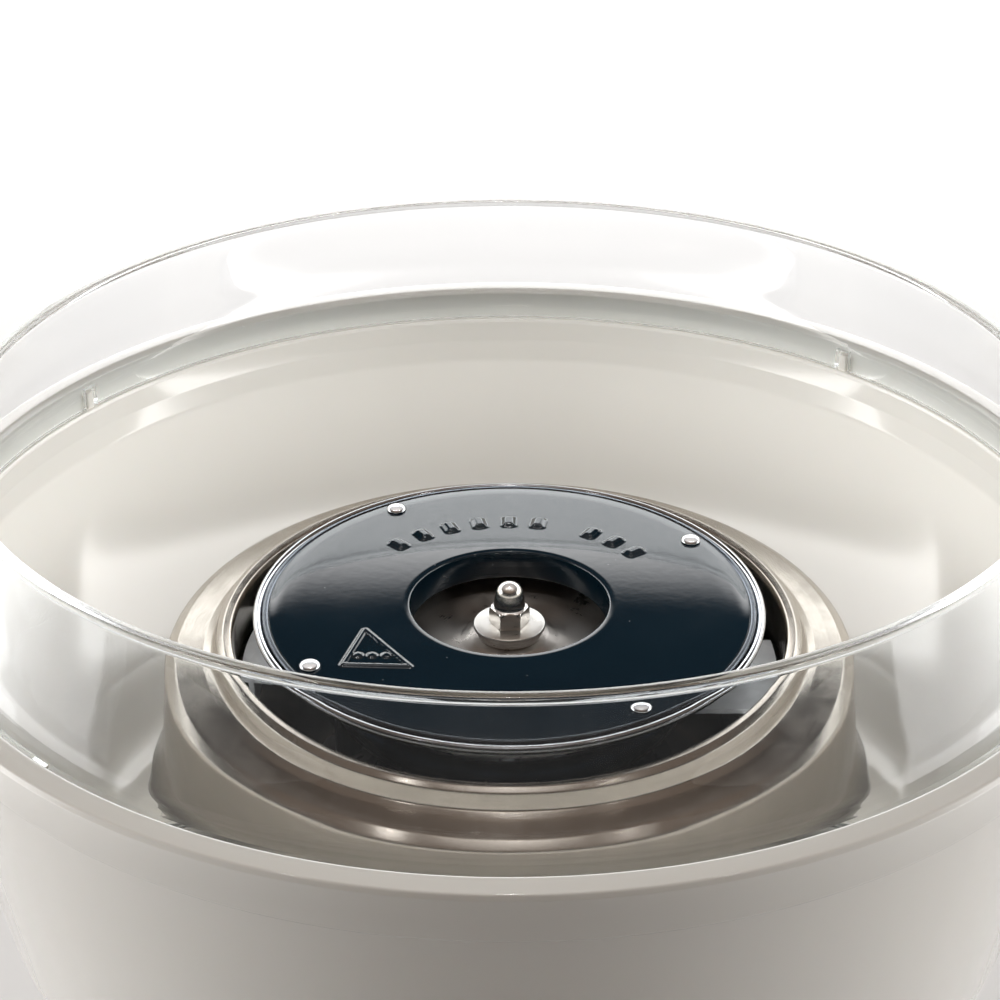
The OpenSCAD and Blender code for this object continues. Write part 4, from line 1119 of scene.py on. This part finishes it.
def plug_pins():
    """The pins' dark sleeves and bright tips, as two objects."""
    sleeve = [(34.0, 0.0), (34.0, 1.98), (44.0, 1.98), (44.25, 1.9), (44.25, 0.0)]
    tip = [(44.2, 0.0), (44.2, 1.99)]
    for k in range(8):
        t = PI / 2 * k / 8
        tip.append((52.9 + 2.0 * math.sin(t), 1.99 * math.cos(t)))
    tip.append((54.9, 0.0))
    sleeves = join("plug_pin_sleeves", at_pins(sleeve, 30), 40)
    tips = join("plug_pin_tips", at_pins(tip, 40), 40)
    return place(sleeves, PLUG_POSE), place(tips, PLUG_POSE)


piece(plug(), "base", "plug", "white_cord", "power_plug")
pin_sleeves, pin_tips = plug_pins()
piece(pin_tips, "base", "nickel", "bright_nickel", "plug_pins")
piece(pin_sleeves, "base", "black_plastic", "black_plastic")


# ------------------------------------------------------------------ strain relief
def strain_relief():
    """A flanged sleeve through the housing, with a ribbed tail outside it."""
    # (r, y)
    profile = [(CORD_BORE, 92), (7.6, 92), (7.6, 93.95), (5.95, 93.95), (5.95, 107.05),
               (8.0, 107.05), (8.25, 107.3), (8.25, 108.2), (7.9, 108.9), (7.0, 109.3)]
    for k in range(3):
        y = 109.6 + 1.6 * k
        r = 6.3 - 0.26 * k
        profile += [(r, y), (r - 0.08, y + 0.9), (r - 0.9, y + 1.0), (r - 0.95, y + 1.5)]
    profile += [(5.52, 114.4), (4.3, 114.6), (CORD_BORE, 114.6)]
    return place(lathe("cord_relief_boot", profile, 72, crease=30), CORD_EXIT)


piece(strain_relief(), "base", "rubber", "black_rubber", "cord_strain_relief")


# ------------------------------------------------------------------ suction feet
def suction_feet():
    """Thin flared cups, each with a neck and a knob on top."""
    profile = catmull([(0.0, 5.0), (4, 4.7), (8, 3.6), (11.6, 2.0), (14.6, 0.42)], 4)
    profile += bridge([(14.6, 0.42), (15.3, 0.02, 0.3), (17.0, 0.02, 0.3), (17.25, 0.75, 0.4),
                       (16.2, 2.6)])
    profile += catmull([(16.2, 2.6), (14.2, 4.7), (12.2, 6.4), (10.2, 7.9)], 4)
    profile += rounded([(10.2, 7.9), (9.2, 8.5, 0.5), (8.6, 9.33, 0.35), (4.2, 9.35, 0.2),
                        (4.2, 12.05, 0.2), (6.2, 12.3, 0.3), (5.4, 15, 0.8), (3, 16.6, 0.8),
                        (0, 17.0)])[1:]
    feet = []
    for a in (45, 135, 225, 315):
        foot = lathe("foot", profile, 72, crease=42)
        feet.append(place(foot, turn(math.radians(a)) @ shift(78.0, 0, 0)))
    return join("suction_feet_set", feet, 42)


piece(suction_feet(), "base", "rubber", "black_rubber", "suction_feet")

# ------------------------------------------------------------------ CAD nodes that stay
CAD_LOOKS = {
    "bottom_plate": "black_plastic", "bottom_screws": "zinc", "collar_screws": "zinc",
    "heater_reflector": "enamel", "heater_element": "heater", "heater_insulators": "steatite",
    "heater_clips": "heater", "heater_bracket": "galv", "thermal_cutout": "ceramic",
    "reflector_standoffs": "zinc", "standoff_screws": "zinc", "motor_bracket": "galv",
    "bracket_grommets": "rubber", "bracket_screws": "zinc", "motor_can": "zinc",
    "motor_end_cap": "natural", "motor_magnets": "ferrite", "motor_brushes": "carbon",
    "motor_bushes": "bronze", "motor_screws": "zinc", "rectifier_board": "board",
    "rectifier_parts": "black_plastic", "board_screws": "zinc", "switch_body": "black_plastic",
    "switch_rocker": "red", "wiring": "wire", "motor_shaft": "ground",
    "thrust_washers": "ground", "armature_core": "core", "armature_windings": "copper",
    "commutator": "copper", "hub_seat": "brass", "hub_grub_screw": "core",
}
for name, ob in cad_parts.items():
    if name not in CAD_LOOKS:
        continue
    if not ob.material_slots:
        ob.data.materials.append(LOOKS[CAD_LOOKS[name]])
    else:
        for slot in ob.material_slots:
            slot.material = LOOKS[CAD_LOOKS[name]]


# ------------------------------------------------------------------ floor
def floor_look():
    """Matt pale floor that fades into a bright, even sweep away from the object."""
    glow = 2.7         # strength of the floor's light where it isn't seen directly
    look = new_look("floor")
    here = look.position()
    # darker to diffuse rays, so that it throws less light up
    base = look.mix(look.rays()["Is Diffuse Ray"], (0.84, 0.84, 0.84), (0.33, 0.32, 0.31))
    away = look.add("VectorMath", {0: here}, operation="LENGTH").outputs["Value"]
    far = look.remap(away, over=(0.26, 0.8))
    x, y, _ = look.xyz(here)
    lit = look.remap(y, over=(-0.38, -0.28))
    # the lit part of the floor widens to the sides, a little more to the right
    wide = look.math("ADD", look.times(look.math("ABSOLUTE", x), 0.25), look.times(x, 0.05))
    lit = look.math("MAXIMUM", lit,
                    look.remap(look.math("ADD", y, wide), over=(-0.14, -0.09)))
    rays = look.rays()
    direct = look.seen_directly(rays)
    seen = look.times(direct, look.remap(away, over=(0.6, 2.2), to=(0.6, 1.0)))
    soft = look.remap(rays["Is Diffuse Ray"], to=(1.0, 0.09))
    unseen = look.times(look.times(look.math("SUBTRACT", 1.0, direct), soft),
                        look.times(lit, glow))
    look.surface({
        "Base Color": base,
        "Roughness": 0.6,
        "Specular IOR Level": 0.25,
        "Emission Strength": look.times(far, look.math("ADD", seen, unseen)),
        "Emission Color": (1, 1, 1),
    })
    return look.owner


def floor_disc():
    sides = 64
    bm = bmesh.new()
    centre = bm.verts.new((0, 0, 0))
    # ring radii in metres
    rings = [[bm.verts.new((r * math.cos(a), r * math.sin(a), 0.0)) for a in even(sides)]
             for r in (0.3, 0.8, 2.0, 6.0)]
    for k in range(sides):
        bm.faces.new((centre, rings[0][k], rings[0][(k + 1) % sides]))
    for a, b in zip(rings, rings[1:]):
        for k in range(sides):
            bm.faces.new((a[k], b[k], b[(k + 1) % sides], a[(k + 1) % sides]))
    return finish_mesh(bm, "floor_disc")


floor = floor_disc()
floor.data.materials.append(floor_look())


# ------------------------------------------------------------------ lights
def area(name, at, target, size, power):
    """A rectangular lamp of size (width, height) aimed at target, unseen by the camera."""
    lamp = bpy.data.lights.new(name, "AREA")
    lamp.shape = "RECTANGLE"
    lamp.size, lamp.size_y = size
    lamp.energy = power
    ob = bpy.data.objects.new(name, lamp)
    bpy.context.scene.collection.objects.link(ob)
    ob.location = at
    ob.rotation_euler = (Vector(target) - Vector(at)).to_track_quat("-Z", "Y").to_euler()
    ob.visible_camera = False
    return ob


for name, x, power in (("side_left", -1.05, 8.0), ("side_right", 1.05, 6.8)):
    side = area(name, at=(x, 0.0, 0.33), target=(0, 0, 0.17), size=(0.8, 0.6), power=power)
    side.visible_glossy = False
# soft fill over the bowl's mouth, for matt surfaces only
fill = area("mouth_fill", at=(0, 0, 0.2105), target=(0, 0, 0), size=(0.23, 0.23), power=0.178)
fill.data.shape = "DISK"
fill.visible_glossy = False
fill.visible_transmission = False
# three small lamps overhead, whose glints run across the turned steel as thin rays
LAMP_REACH = 1.6
for name, toward in (("lamp_left", (-0.30, -0.06, 0.95)), ("lamp_mid", (0.0, 0.12, 0.99)),
                     ("lamp_right", (0.30, -0.06, 0.95))):
    area(name, at=tuple(LAMP_REACH * c for c in toward), target=(0, 0, 0.18),
         size=(0.045, 0.045), power=0.6)


# ------------------------------------------------------------------ world
def build_world():
    """A bright sweep behind and beside the object, up to about 30 degrees, in a dim room."""
    world = bpy.data.worlds.new("world")
    bpy.context.scene.world = world
    sky = Shader(world, "Background")
    _, y, z = sky.xyz(sky.add("TexCoord").outputs["Generated"])
    rays = sky.rays()
    # (sine of the elevation, brightness)
    band = sky.ramp(z, [(0.0, 1.0), (0.492, 1.0), (0.4975, 0.78), (0.502, 0.58),
                        (0.506, 0.36), (0.510, 0.13), (0.5135, 0.0)])
    behind = sky.remap(y, over=(-0.3, -0.05))
    strength = sky.times(sky.remap(rays["Is Diffuse Ray"], to=(1.0, 0.2)), 3.1)
    level = sky.times(sky.times(band, behind), strength)
    room = sky.ramp(z, [
        (0.0, (0.10, 0.094, 0.088)), (0.42, (0.06, 0.056, 0.053)),
        (0.52, (0.028, 0.027, 0.028)), (0.62, (0.04, 0.035, 0.031)),
        (0.8, (0.25, 0.195, 0.16)), (1.0, (0.29, 0.23, 0.19))])
    # a bright patch overhead, for reflections only
    spot = sky.times(sky.remap(z, over=(0.972, 0.985), to=(0.0, 1.2)), rays["Is Glossy Ray"])
    white = sky.add("CombineXYZ", {k: sky.math("ADD", level, spot) for k in range(3)})
    around = sky.add("VectorMath", {0: room, 1: white.outputs[0]}, operation="ADD")
    backdrop = (1.22, 1.22, 1.22)
    sky.surface({"Color": sky.mix(sky.seen_directly(rays), around.outputs[0], backdrop),
                 "Strength": 1.0})


build_world()


# ------------------------------------------------------------------ camera and render
def add_camera():
    camera = bpy.data.cameras.new("camera")
    camera.lens = 79.82
    camera.sensor_width = 36
    camera.shift_x = -0.0094
    camera.clip_start = 0.01
    ob = bpy.data.objects.new("camera", camera)
    bpy.context.scene.collection.objects.link(ob)
    look_down = 28.353    # degrees below level
    ob.location = (0.0, -0.4321, 0.4473)
    ob.rotation_euler = (math.radians(90 - look_down), 0, 0)
    bpy.context.scene.camera = ob


add_camera()
bpy.context.scene.view_settings.view_transform = "Standard"
cycles = bpy.context.scene.cycles
cycles.use_denoising = True
cycles.max_bounces = 16
cycles.transmission_bounces = 12
cycles.transparent_max_bounces = 16
cycles.glossy_bounces = 8
cycles.diffuse_bounces = 5
cycles.caustics_reflective = False
cycles.caustics_refractive = False
cycles.sample_clamp_indirect = 6

bpy.context.view_layer.update()
